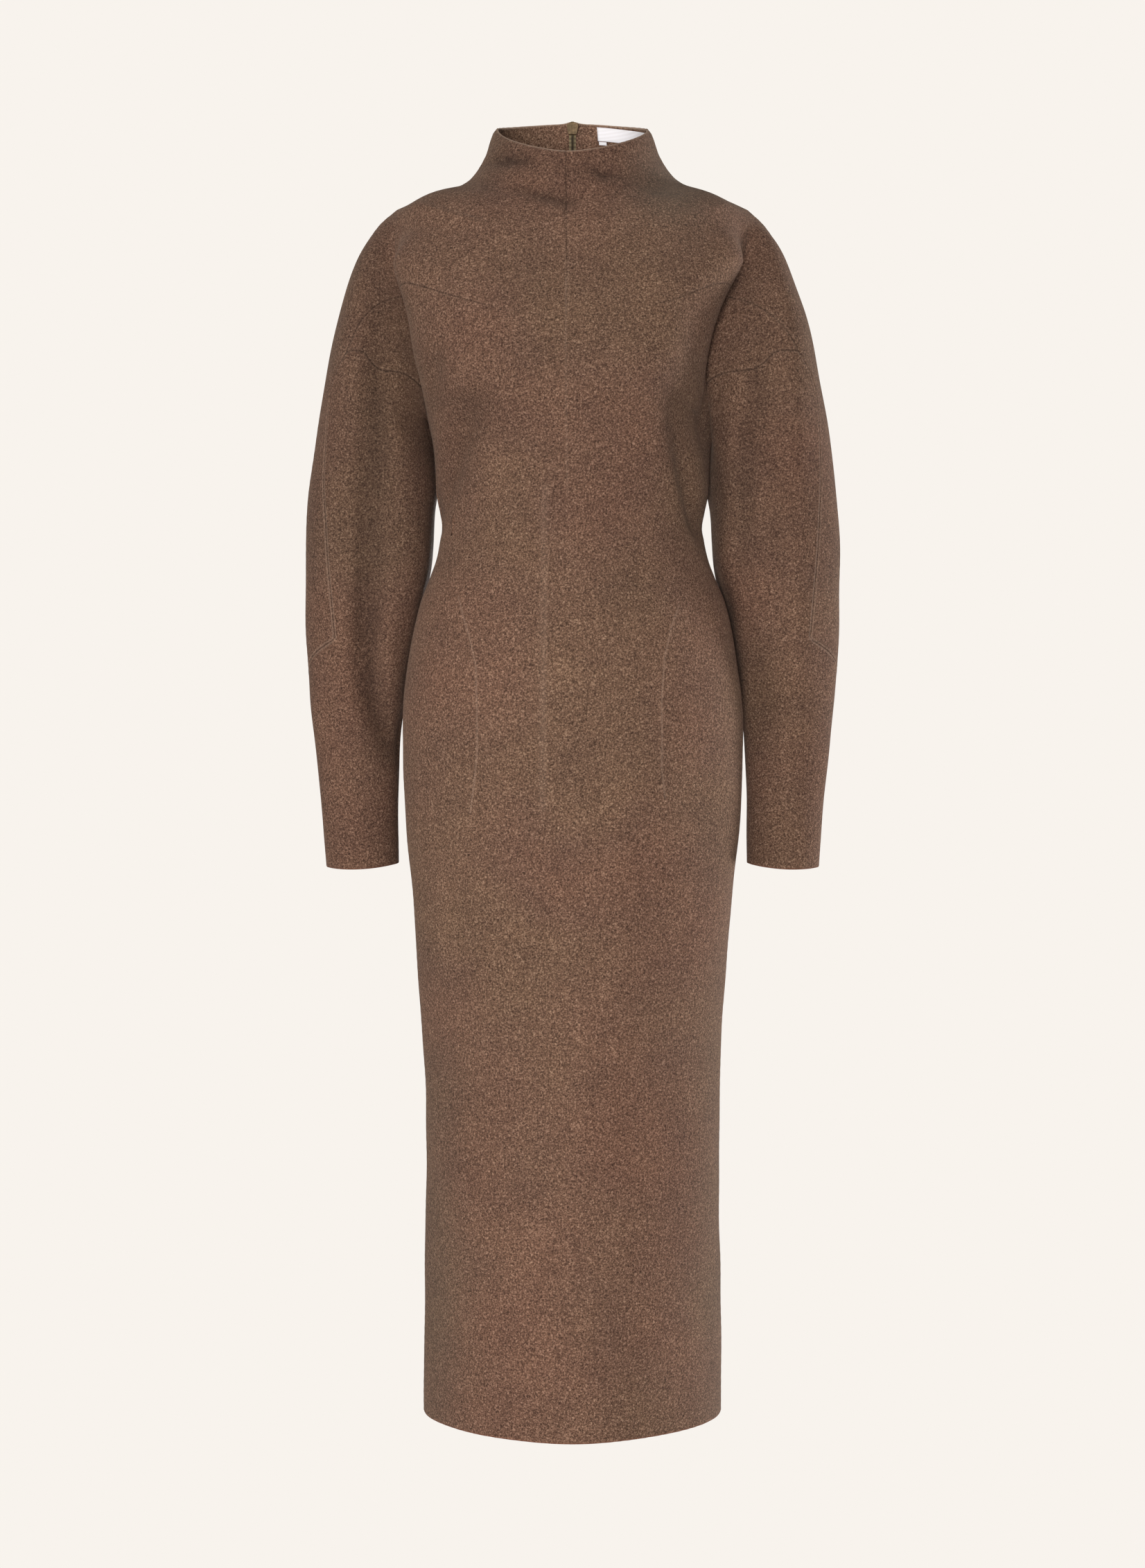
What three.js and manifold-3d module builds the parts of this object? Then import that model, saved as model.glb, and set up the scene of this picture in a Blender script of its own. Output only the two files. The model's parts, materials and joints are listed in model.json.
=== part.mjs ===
// A long-sleeved sweater dress of felted wool knit, filled out as it is worn.
// The front faces -Y, up is +Z and the wearer's left is +X. Lengths are in millimetres.
// The origin is between the shoulders, level with the points where they meet the neck.
//
// The cloth is one outer surface, worked out from sections, and split along the seams into
// the panels that a maker cuts. Each panel is then given its thickness on the inside.
import * as THREE from "three";
import { mergeVertices } from "three/addons/utils/BufferGeometryUtils.js";
import Module from "manifold-3d";

const wasm = await Module();
wasm.setup();

const CLOTH = 2; // thickness of the felted knit
const SEAM_GAP = 0.3; // between two panels
const HEM = -1240; // height of the hem, and so the length below the shoulder points
const WAIST = -349;
const ARMPIT = -238;

// The zip in the centre back seam. It is closed, with its slider at the collar's edge.
const ZIP = { top: 75, end: -224, tape: 3.5, thick: 0.6, clear: 0.7 };
const ZIP_STOP = { length: 5, wide: 6.4, thick: 1.8, clear: 0.3 };
// The slider's inner plate is a shield; its neck crosses above the collar's edge to the outside.
// Outlines give one side, from the foot up or from the pin down, and are mirrored.
const SLIDER = {
  front: 54.7, back: 58.3,
  neck: { half: 2.2, front: 57.1, back: 62.4, low: 76.4, top: 77.9 },
  shield: [[3.7, 65], [4.4, 65.7], [6, 74.1], [5.6, 75.2], [1.1, 77.9]],
};
// The pull tab hangs on a pin between two lugs behind the collar's edge.
const PIN = { y: 64.6, z: 76.8, radius: 0.7, sides: 12 };
const LUG = { inner: 1.5, outer: 2.3, back: 66, half: 1.3 };
const TAB = {
  eye: 1, ring: 1.9, wide: 1.2, sides: 16, thick: 1.2,
  blade: [[1.1, 75.35], [1.1, 72.15], [2.8, 56.2], [2.4, 54.2], [1.2, 53], [0, 52.8]],
};
const JOINED = 0.2; // how far joined pieces of metal reach into each other

// A bare label inside the collar on the wearer's left of the zip, and a smaller one under it.
// From and to are shares of the way round from the centre back to the side.
const LABEL = { from: 0.23, to: 0.93, top: 0.965, foot: 0.8, clear: 0.6, thick: 0.5 };
const SMALL_LABEL = { from: 0.24, to: 0.31, top: 0.793, foot: 0.745, clear: 0.6, thick: 0.5 };

// Mesh density: columns from a centre line to a side, and rows along each stretch.
const BODY_COLUMNS = 9;
const SHOULDER_ROWS = 8;
const OVER_COLUMNS = 6; // from the overarm seam to the sleeve panel seam
const UNDER_COLUMNS = 7; // from there to the inner seam of the sleeve
const GUSSET_COLUMNS = 4; // how many of those the body panel's underarm extension takes
const GUSSET_ROWS = 4;
const SLEEVE_ROWS = 17;
const BODY_STEP = { least: 17, growth: 0.085 }; // row spacing, which grows away from the waist
const ARM_ROWS = OVER_COLUMNS + UNDER_COLUMNS;
const ROW_STEPS = { main: 60, fold: 16 }; // fine steps that a row of the body is measured by

const table = (columns, ...rows) =>
  rows.map((row) => Object.fromEntries(columns.split(" ").map((name, i) => [name, row[i]])));

// A smooth curve through a table's points: a cubic between each two, with no corner.
function curve(rows, from, to) {
  const points = rows.map((row) => [row[from], row[to]]).sort((a, b) => a[0] - b[0]);
  const last = points.length - 1;
  const slope = (i) => {
    const a = points[Math.max(i - 1, 0)];
    const b = points[Math.min(i + 1, last)];
    return (b[1] - a[1]) / (b[0] - a[0]);
  };
  return (x) => {
    let i = 0;
    while (i < last - 1 && x > points[i + 1][0]) i += 1;
    const [x0, y0] = points[i];
    const [x1, y1] = points[i + 1];
    const span = x1 - x0;
    const u = Math.min(Math.max((x - x0) / span, 0), 1);
    const rise = u * u * (3 - 2 * u);
    return y0 + (y1 - y0) * rise
      + span * (slope(i) * u * (1 - u) ** 2 - slope(i + 1) * u * u * (1 - u));
  };
}

const mix = (a, b, u) => a + (b - a) * u;
const ease = (u) => {
  const v = Math.min(Math.max(u, 0), 1);
  return v * v * (3 - 2 * v);
};

// The body below the armpit: half its width, and how full its section is (2 is an ellipse).
const SIDE = table("z half full",
  [-238, 146.5, 2.1], [-264, 141.5, 2.1], [-298, 138.3, 2.1], [-318, 136.4, 2.1],
  [-332, 133.7, 2.05], [-349, 131.3, 2], [-365, 133.4, 2], [-382, 137, 2], [-399, 143.6, 2],
  [-424, 153.7, 2], [-458, 161.6, 2], [-491, 167, 2], [-540, 171.5, 2], [-584, 171.2, 2],
  [-617, 169.8, 1.98], [-651, 167.7, 1.95], [-685, 165, 1.92], [-735, 160, 1.88],
  [-802, 155, 1.84], [-869, 150.2, 1.8], [-935, 148.4, 1.78], [-1050, 148.6, 1.75],
  [-1240, 150, 1.72]);

// How far the centre front and the centre back stand from the middle, and the seam's place.
const FRONT = table("z depth centre",
  [11, 72, -6.4], [-8, 75, -6.4], [-28, 81, -6.2], [-45, 88, -6], [-62, 95, -6], [-80, 101, -5.8],
  [-120, 114, -5.4], [-164, 127, -5], [-200, 135, -4.5], [-222, 136, -4], [-250, 130, -3.4],
  [-300, 113, -2.2], [-349, 105, -1], [-400, 109, 0], [-450, 114, 0], [-500, 116, 0],
  [-600, 114, 0], [-800, 113, 0], [-1240, 116, 0]);
const BACK = table("z depth",
  [76, 62], [50, 62], [25, 64], [0, 70], [-40, 84], [-80, 95], [-130, 104], [-180, 107],
  [-240, 102], [-300, 90], [-349, 83], [-400, 89], [-450, 102], [-500, 112], [-560, 118],
  [-620, 117], [-700, 114], [-800, 113], [-1240, 116]);

// The side line from the shoulder up to the collar's edge, and the centre heights of its rows.
const SHOULDER = table("at x y z front back",
  [0, 178, 8, -27, -80, -22], [0.13, 150, 8, -15.4, -64, -6], [0.25, 127, 7, -7, -52, 8],
  [0.36, 113, 6, -1.5, -43, 18], [0.46, 104, 5, 4.5, -36, 27], [0.57, 97, 4, 12.6, -28, 37],
  [0.68, 91.5, 3, 21, -19, 47], [0.79, 87, 2, 29.5, -10, 56], [0.9, 83.4, 1, 40, 1, 66],
  [0.96, 80, 0, 48, 7, 72], [1, 76, 0, 53, 11, 76]);

// The same for the rows that end at the armhole, by the height of their end. Turn is how far
// the row has come round there, in degrees.
const ARMHOLE = table("z front back turn",
  [-27, -80, -22, 84], [-40, -90, -38, 80], [-60, -106, -62, 80], [-78, -122, -84, 84],
  [-95, -138, -106, 90], [-122, -164, -138, 90], [-180, -206, -190, 90], [-238, -246, -242, 90]);

// Where the cloth folds over at the arm: the fold's edge, in front of the armhole and behind it.
const FOLD_TOP = -56;
const FRONT_FOLD = table("z x y",
  [-50, 176, -17], [-64, 178, -28], [-78, 179.5, -41], [-95, 178.5, -52],
  [-122, 170.5, -56], [-150, 162.5, -54], [-180, 157, -48],
  [-205, 152, -38], [-225, 148.5, -24], [-238, 146.5, 4]);
const BACK_FOLD = table("z x y",
  [-78, 180, 50], [-95, 175, 58], [-122, 167, 64], [-150, 160, 66], [-180, 155, 62],
  [-205, 151, 52], [-225, 148.5, 36], [-238, 146.5, 4]);

// On the wearer's left the cloth folds over further in: how far it moves there, by height. The
// shift fades out on both sides of the fold, and from the front to the back.
const LEFT_FOLD = table("z by",
  [-60, 0], [-84, 6], [-119, 15], [-144, 19], [-170, 22], [-190, 22], [-215, 20], [-250, 18],
  [-275, 9], [-300, 2], [-315, 0]);
const LEFT_FOLD_REACH = { inwards: 75, outwards: 70, front: -30, back: 12 };

// The sleeve's four lines, from the armhole at 0 to the cuff at 14: along the top of the arm,
// down its front, along the inside and down its back.
const OVERARM = table("at x y z",
  [0, 178, 8, -27], [1, 197, 8, -44.5], [2, 215, 8, -75], [3, 231, 9, -120], [4, 245.5, 10, -176],
  [5, 257, 12, -235], [6, 265.8, 15, -294], [7, 271.3, 19, -352], [8, 272.8, 24, -410],
  [9, 271.8, 28, -464], [10, 268.5, 31, -514], [11, 263.8, 31, -560], [12, 259.3, 30, -604],
  [13, 255, 28, -648], [14, 251.4, 26, -692]);
const ARM_FRONT = table("at x y z",
  [0, 161, -27, -130], [1, 186, -46, -150], [2, 200, -55, -178], [3, 206, -57, -210],
  [4, 208, -54, -250], [5, 207.5, -48, -290], [6, 207, -42, -332], [7, 208, -36, -376],
  [8, 210.5, -29, -422], [9, 214.5, -21, -468], [10, 218, -12, -514], [11, 219, -6, -560],
  [12, 218, -4, -604], [13, 216.5, -5, -648], [14, 214.5, -8, -694]);
const INSIDE = table("at x y z",
  [0, 146.5, 4, -238], [1, 148.2, 9, -243], [2, 142.8, 24, -257], [3, 138, 31, -277],
  [4, 136.2, 34, -302], [5, 140.4, 33, -330], [6, 142.4, 31, -360], [7, 145.5, 29, -393],
  [8, 153.6, 29, -428], [9, 162.5, 30, -468], [10, 170, 32, -512], [11, 175, 31, -558],
  [12, 177.2, 30, -602], [13, 177.8, 28, -645], [14, 177.3, 26, -688.5]);
const ARM_BACK = table("at x y z",
  [0, 160, 44, -130], [1, 184, 64, -148], [2, 199, 75, -176], [3, 206, 79, -208],
  [4, 208.5, 80, -248], [5, 208, 78, -288], [6, 207.5, 76, -330], [7, 208.5, 75, -374],
  [8, 211, 76, -420], [9, 215, 78, -467], [10, 218.5, 75, -513], [11, 219.5, 68, -559],
  [12, 218.5, 63, -603], [13, 217, 60, -647], [14, 215, 58, -691]);
const CUFF = 14;

// The seam of the over-sleeve: which share of the way round it lies, along the sleeve. It starts
// at the chest seam, turns at the corner where the under-sleeve begins, and ends in a point.
const PANEL_SEAM = table("at share",
  [0, 0.234], [1.6, 0.212], [3.2, 0.178], [4.3, 0.12], [5.5, 0.122], [7, 0.148], [8.9, 0.18]);
const CORNER = 3.2;
const sleeveRowAt = (row) => CORNER + ((CUFF - CORNER) * row) / SLEEVE_ROWS;
const TURN_IN = sleeveRowAt(9); // where the seam turns towards the overarm line
const TIP = sleeveRowAt(10);
const DRIFT = { from: 6.5, along: 6 }; // where the columns behind the seam even out
const CORNER_CURVE = 0.9; // how the underarm extension's edge bends from the corner to the armhole

// The largest folds: soft troughs on the outside, each along a line seen from the front or the
// back. Depth and half width at each point, on the body or on one sleeve.
const trough = (on, face, ...rows) => ({ on, face, line: table("x z depth wide", ...rows) });
const TROUGHS = [
  trough("body", "front", [-92, -238, 1.5, 16], [-107, -262, 3.5, 14], [-117, -292, 4, 12],
    [-124, -324, 3, 10], [-128, -344, 1, 8]),
  trough("body", "front", [-132, -186, 1, 9], [-136, -206, 3.5, 10], [-137, -226, 1, 9]),
  trough("body", "front", [99, -236, 1.5, 12], [104, -280, 3, 10], [110, -314, 4, 8],
    [121, -350, 4, 7], [128, -368, 1, 6]),
  trough("body", "front", [-54, -33, 1, 8], [-27, -41, 3, 9], [0, -49, 3.5, 10],
    [18, -40, 3, 9], [31, -27, 1, 8]),
  trough("body", "front", [-93, 2, 1.5, 8], [-70, 2, 3, 8], [-46, 1, 1, 8]),
  trough("body", "front", [14, 2, 1, 8], [37, -4, 2.5, 8], [70, -3, 2.5, 8], [89, 5, 1, 7]),
  trough("body", "back", [-96, -262, 1.5, 14], [-111, -300, 3.5, 13], [-121, -340, 1.5, 10]),
  trough("body", "back", [70, -300, 1, 14], [101, -318, 3, 13], [122, -346, 1.5, 10]),
  trough("body", "back", [-60, -378, 1, 14], [0, -366, 3, 13], [58, -380, 1, 14]),
  trough("right sleeve", "front", [-194, -204, 1, 15], [-194, -282, 4, 17], [-199, -346, 4, 17],
    [-205, -422, 6, 18], [-208, -462, 7, 18], [-207, -500, 7, 18], [-200, -540, 5, 16],
    [-190, -570, 1, 14]),
  trough("left sleeve", "front", [172, -256, 1, 13], [174, -312, 3, 14], [171, -384, 1, 13]),
  trough("left sleeve", "front", [203, -270, 1, 14], [205, -340, 3.5, 15], [200, -420, 1, 14]),
  trough("left sleeve", "front", [184, -474, 1, 14], [190, -524, 3.5, 16], [184, -572, 1, 13]),
  trough("right sleeve", "back", [-205, -330, 1, 16], [-203, -420, 5, 18], [-201, -500, 5, 17],
    [-206, -570, 1, 15]),
  trough("left sleeve", "back", [210, -320, 1, 16], [204, -430, 5, 18], [201, -510, 5, 17],
    [208, -576, 1, 15]),
];

// Below the armpit, how far down the rows still follow the armhole's, and how far back and how
// far down the side line swings.
const UNDERARM = { follow: 70, back: 4, down: 90 };

// The gentle fullness over the bust that the cut gives.
const BUST = { x: 80, z: -214, high: 6, across: 46, along: 48 };

const frontDepth = curve(FRONT, "z", "depth");
const frontCentre = curve(FRONT, "z", "centre");
const backDepth = curve(BACK, "z", "depth");
const sideHalf = curve(SIDE, "z", "half");
const sideFull = curve(SIDE, "z", "full");
const sleeveLines = [OVERARM, ARM_FRONT, INSIDE, ARM_BACK].map((rows) =>
  ["x", "y", "z"].map((axis) => curve(rows, "at", axis)));
const panelSeam = curve(PANEL_SEAM, "at", "share");
const shoulderAt = Object.fromEntries(["x", "y", "z", "front", "back"].map((name) =>
  [name, curve(SHOULDER, "at", name)]));
const armholeAt = Object.fromEntries(["front", "back", "turn"].map((name) =>
  [name, curve(ARMHOLE, "z", name)]));
const foldAt = Object.fromEntries([["front", FRONT_FOLD], ["back", BACK_FOLD]].map(
  ([face, rows]) => [face, { x: curve(rows, "z", "x"), y: curve(rows, "z", "y") }]));

// A point of the sleeve: share 0 is the overarm line, 1/4 the front, 1/2 the inside, 3/4 the
// back. The section is a rounded one through the four lines.
function sleevePoint(share, at) {
  const [top, front, inner, back] = sleeveLines.map((line) => line.map((axis) => axis(at)));
  const angle = 2 * Math.PI * share;
  const swing = (1 - Math.cos(2 * angle)) / 2;
  return [0, 1, 2].map((i) => {
    const long = (top[i] + inner[i]) / 2;
    const wide = (front[i] + back[i]) / 2;
    return long + Math.cos(angle) * (top[i] - inner[i]) / 2
      + Math.sin(angle) * (front[i] - back[i]) / 2 + swing * (wide - long);
  });
}

// How far round the over-sleeve's seam lies at a place along the sleeve.
function seamShare(at) {
  if (at >= TIP) return 0;
  if (at <= TURN_IN) return panelSeam(at);
  return panelSeam(TURN_IN) * (TIP - at) / (TIP - TURN_IN);
}

// The share round the sleeve of a column, counted from the overarm line to the inside.
function columnShare(column, at) {
  const seam = seamShare(at);
  if (column <= OVER_COLUMNS) return seam * column / OVER_COLUMNS;
  const into = (column - OVER_COLUMNS) / UNDER_COLUMNS;
  const drift = panelSeam(Math.min(at, TURN_IN)) * (1 - ease((at - DRIFT.from) / DRIFT.along));
  return mix(mix(seam, drift, ease(2 * into)), 0.5, into);
}

const faceShare = (face, share) => (face === "front" ? share : 1 - share);

// A row of the body, from the centre line round to its end, as evenly spaced points.
function bodyRow({ face, side, centre, end, fold, turn = 90, full = 2, lift }) {
  const depth = (face === "front" ? -1 : 1) * (face === "front" ? frontDepth : backDepth)(centre);
  const middle = face === "front" ? side * frontCentre(centre) : 0;
  const ridge = fold ?? { x: end[0], y: end[1] };
  const power = 2 / full;
  const last = (turn * Math.PI) / 180;
  const fine = [];
  for (let i = 0; i <= ROW_STEPS.main; i += 1) {
    const a = (last * i) / ROW_STEPS.main;
    const out = (Math.sin(a) / Math.sin(last)) ** power;
    const round = (1 - Math.cos(a) ** power) / (1 - Math.cos(last) ** power);
    const rise = lift((a / last) * (Math.PI / 2));
    fine.push([mix(middle, ridge.x, out), mix(depth, ridge.y, round), mix(centre, end[2], rise)]);
  }
  // The cloth that goes back into the fold at the arm.
  for (let i = 1; fold && i <= ROW_STEPS.fold; i += 1) {
    const b = (Math.PI / 2) * (i / ROW_STEPS.fold);
    fine.push([mix(ridge.x, end[0], 1 - Math.cos(b)), mix(ridge.y, end[1], Math.sin(b)), end[2]]);
  }
  const along = [0];
  for (let i = 1; i < fine.length; i += 1) {
    along.push(along[i - 1] + Math.hypot(...fine[i].map((c, k) => c - fine[i - 1][k])));
  }
  return Array.from({ length: BODY_COLUMNS + 1 }, (_, column) => {
    const want = (along.at(-1) * column) / BODY_COLUMNS;
    const next = along.findIndex((length, i) => i > 0 && length >= want - 1e-6);
    const i = next - 1;
    const u = Math.min((want - along[i]) / (along[next] - along[i]), 1);
    const [x, y, z] = fine[i].map((c, k) => mix(c, fine[next][k], u));
    return [side * x, y, z];
  });
}

// Rows rise from the centre to the side: quickly at the chest, evenly round the collar.
const CHEST_REACH = (78 * Math.PI) / 180;
const chestLift = (a) => ease(a / CHEST_REACH);
const COLLAR_RISE = { power: 0.85, full: 0.6 }; // full: where the collar's rise has taken over
const collarLift = (a) => (1 - Math.cos(a)) ** COLLAR_RISE.power;

// A row between the shoulder's point, at 0, and the collar's edge, at 1.
function collarRow(face, side, at) {
  const end = ["x", "y", "z"].map((axis) => shoulderAt[axis](at));
  const lift = (a) => mix(chestLift(a), collarLift(a), ease(at / COLLAR_RISE.full));
  return bodyRow({ face, side, centre: shoulderAt[face](at), end, lift });
}

// The rows of one quarter of the body, from the collar's edge down to the hem.
function bodyRows(face, side) {
  const rows = [];
  for (let i = SHOULDER_ROWS; i > 0; i -= 1) rows.push(collarRow(face, side, i / SHOULDER_ROWS));
  for (let column = 0; column <= ARM_ROWS; column += 1) {
    const end = sleevePoint(faceShare(face, columnShare(column, 0)), 0);
    const z = end[2];
    const fold = z < FOLD_TOP ? { x: foldAt[face].x(z), y: foldAt[face].y(z) } : undefined;
    const turn = Math.min(armholeAt.turn(z), 90);
    rows.push(bodyRow({ face, side, centre: armholeAt[face](z), end, fold, turn,
      full: mix(2, sideFull(ARMPIT), ease(column / ARM_ROWS)), lift: chestLift }));
  }
  for (const z of bodyHeights()) {
    const near = 1 - ease((ARMPIT - z) / UNDERARM.follow);
    const centre = z + near * (armholeAt[face](ARMPIT) - ARMPIT);
    const back = UNDERARM.back * (1 - ease((ARMPIT - z) / UNDERARM.down));
    rows.push(bodyRow({ face, side, centre, end: [sideHalf(z), back, z], full: sideFull(z),
      lift: chestLift }));
  }
  return rows;
}

// Heights of the body's rows below the armpit, closest together at the waist.
function bodyHeights() {
  const heights = [];
  for (let z = ARMPIT; z > HEM;) {
    z -= BODY_STEP.least + BODY_STEP.growth * Math.abs(z - WAIST);
    heights.push(z);
  }
  const stretch = (HEM - ARMPIT) / (heights.at(-1) - ARMPIT);
  return heights.map((z) => ARMPIT + (z - ARMPIT) * stretch);
}

// The whole surface: points shared by the panels that meet there, and faces that name a panel.
const sheet = { points: [], faces: [], found: new Map() };
function pointIndex(p, pinned = false) {
  const key = p.map((c) => Math.round(c * 1000)).join();
  if (!sheet.found.has(key)) {
    sheet.found.set(key, sheet.points.length);
    sheet.points.push({ at: new THREE.Vector3(...p), pinned: false, of: new Set() });
  }
  const index = sheet.found.get(key);
  sheet.points[index].pinned ||= pinned;
  return index;
}

function addFace(panel, part, corners, turned) {
  const loop = corners.filter((c, i) => corners.indexOf(c) === i);
  if (loop.length < 3) return;
  if (turned) loop.reverse();
  loop.forEach((c) => sheet.points[c].of.add(part));
  sheet.faces.push({ panel, loop });
}

const sideName = (side) => (side > 0 ? "left" : "right");

// Adds one quarter of the body and the matching half of a sleeve.
function addQuarter(face, side) {
  const turned = side * (face === "front" ? 1 : -1) < 0;
  const upper = `upper_${face}_${sideName(side)}`;
  const body = face === "front" ? "front_body" : `back_body_${sideName(side)}`;
  const under = `under_sleeve_${sideName(side)}`;
  const seamRow = SHOULDER_ROWS + OVER_COLUMNS;
  const rows = bodyRows(face, side).map((points, row) =>
    points.map((p, column) =>
      pointIndex(p, column === BODY_COLUMNS && row <= SHOULDER_ROWS)));
  if (face === "back" && side > 0) sheet.leftBack = rows;
  for (let row = 1; row < rows.length; row += 1) {
    for (let column = 0; column < BODY_COLUMNS; column += 1) {
      const [above, below] = [rows[row - 1], rows[row]];
      addFace(row <= seamRow ? upper : body, `body ${face}`,
        [below[column], below[column + 1], above[column + 1], above[column]], turned);
    }
  }
  const sleeve = (column, at) => {
    const [x, y, z] = sleevePoint(faceShare(face, columnShare(column, at)), at);
    return pointIndex([side * x, y, z], column === 0);
  };
  const cornerAt = (column) => {
    const into = (column - OVER_COLUMNS) / GUSSET_COLUMNS;
    return into <= 0 ? CORNER : CORNER * Math.max(1 - into ** CORNER_CURVE, 0);
  };
  const sleeveAt = (column, row) => {
    const top = cornerAt(column);
    return row <= GUSSET_ROWS
      ? (top * row) / GUSSET_ROWS
      : mix(top, CUFF, (row - GUSSET_ROWS) / SLEEVE_ROWS);
  };
  const part = `${sideName(side)} sleeve ${face}`;
  for (let row = 0; row < GUSSET_ROWS + SLEEVE_ROWS; row += 1) {
    for (let column = 0; column < ARM_ROWS; column += 1) {
      const over = column < OVER_COLUMNS;
      const corners = [[column, row], [column + 1, row], [column + 1, row + 1], [column, row + 1]]
        .map(([c, r]) => sleeve(c, sleeveAt(c, r)));
      const panel = over ? upper : row < GUSSET_ROWS ? body : under;
      addFace(panel, part, corners, turned);
    }
  }
}

for (const side of [-1, 1]) {
  for (const face of ["front", "back"]) addQuarter(face, side);
}

const leftFold = curve(LEFT_FOLD, "z", "by");
function shiftLeftFold(point) {
  const { inwards, outwards, front, back } = LEFT_FOLD_REACH;
  if (point.x < 0 || point.y > back) return;
  const off = point.x - foldAt.front.x(point.z);
  const across = ease(1 - (off < 0 ? -off / inwards : off / outwards));
  point.x -= leftFold(point.z) * across * (1 - ease((point.y - front) / (back - front)));
}
sheet.points.forEach(({ at }) => shiftLeftFold(at));

// Fairs the cloth over the top of each shoulder, where body and sleeve are one surface.
const FAIR = { reach: 52, passes: 5, pull: 0.6, share: 0.15, samples: 15 };
function fairShoulders() {
  const neighbours = sheet.points.map(() => new Set());
  for (const { loop } of sheet.faces) {
    loop.forEach((c, i) => {
      neighbours[c].add(loop[(i + 1) % loop.length]);
      neighbours[loop[(i + 1) % loop.length]].add(c);
    });
  }
  const rim = Array.from({ length: FAIR.samples + 1 }, (_, i) =>
    new THREE.Vector3(...sleevePoint(FAIR.share * ((2 * i) / FAIR.samples - 1), 0)));
  const weights = sheet.points.map(({ at, pinned }) => {
    const here = new THREE.Vector3(Math.abs(at.x), at.y, at.z);
    const gap = Math.min(...rim.map((r) => r.distanceTo(here)));
    return pinned ? 0 : ease(1 - gap / FAIR.reach);
  });
  for (let pass = 0; pass < FAIR.passes; pass += 1) {
    const moved = sheet.points.map(({ at }, i) => {
      const mean = new THREE.Vector3();
      neighbours[i].forEach((n) => mean.add(sheet.points[n].at));
      return at.clone().lerp(mean.divideScalar(neighbours[i].size), FAIR.pull * weights[i]);
    });
    sheet.points.forEach((point, i) => point.at.copy(moved[i]));
  }
}

function faceNormal(loop) {
  const normal = new THREE.Vector3();
  const [a, ...rest] = loop.map((c) => sheet.points[c].at);
  for (let i = 1; i < rest.length; i += 1) {
    normal.add(rest[i - 1].clone().sub(a).cross(rest[i].clone().sub(a)));
  }
  return normal;
}

function findNormals() {
  sheet.points.forEach((point) => { point.normal = new THREE.Vector3(); });
  for (const { loop } of sheet.faces) {
    const normal = faceNormal(loop);
    loop.forEach((c) => sheet.points[c].normal.add(normal));
  }
  sheet.points.forEach(({ normal }) => normal.normalize());
}

// How deep a trough is at a point, seen from the front.
function troughDepth(line, x, z) {
  let best = 0;
  for (let i = 1; i < line.length; i += 1) {
    const [a, b] = [line[i - 1], line[i]];
    const [dx, dz] = [b.x - a.x, b.z - a.z];
    const u = ((x - a.x) * dx + (z - a.z) * dz) / (dx * dx + dz * dz);
    const on = Math.min(Math.max(u, 0), 1);
    const off = Math.hypot(x - a.x - on * dx, z - a.z - on * dz) / mix(a.wide, b.wide, on);
    best = Math.max(best, mix(a.depth, b.depth, on) * Math.exp(-off * off));
  }
  return best;
}

function pressFolds() {
  for (const { at, of, normal } of sheet.points) {
    let deep = 0;
    for (const { on, face, line } of TROUGHS) {
      if (of.has(`${on} ${face}`)) deep += troughDepth(line, at.x, at.z);
    }
    at.addScaledVector(normal, -deep);
    if (of.has("body front")) {
      const across = (Math.abs(at.x) - BUST.x) / BUST.across;
      const along = (at.z - BUST.z) / BUST.along;
      at.y -= BUST.high * Math.exp(-across * across - along * along);
    }
  }
}

fairShoulders();
findNormals();
pressFolds();
findNormals();

const asSolid = (positions, triangles) => new wasm.Manifold(new wasm.Mesh({
  numProp: 3, vertProperties: Float32Array.from(positions), triVerts: Uint32Array.from(triangles),
}));

const asGeometry = (solid) => {
  const { vertProperties, triVerts } = solid.getMesh();
  return new THREE.BufferGeometry()
    .setAttribute("position", new THREE.BufferAttribute(Float32Array.from(vertProperties), 3))
    .setIndex(new THREE.BufferAttribute(Uint32Array.from(triVerts), 1));
};

// A three.js geometry as a solid that can be cut or joined.
function solidOf(geometry) {
  const bare = geometry.clone().deleteAttribute("normal").deleteAttribute("uv");
  const merged = mergeVertices(bare, 1e-4);
  return asSolid(merged.attributes.position.array, merged.index.array);
}

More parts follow.
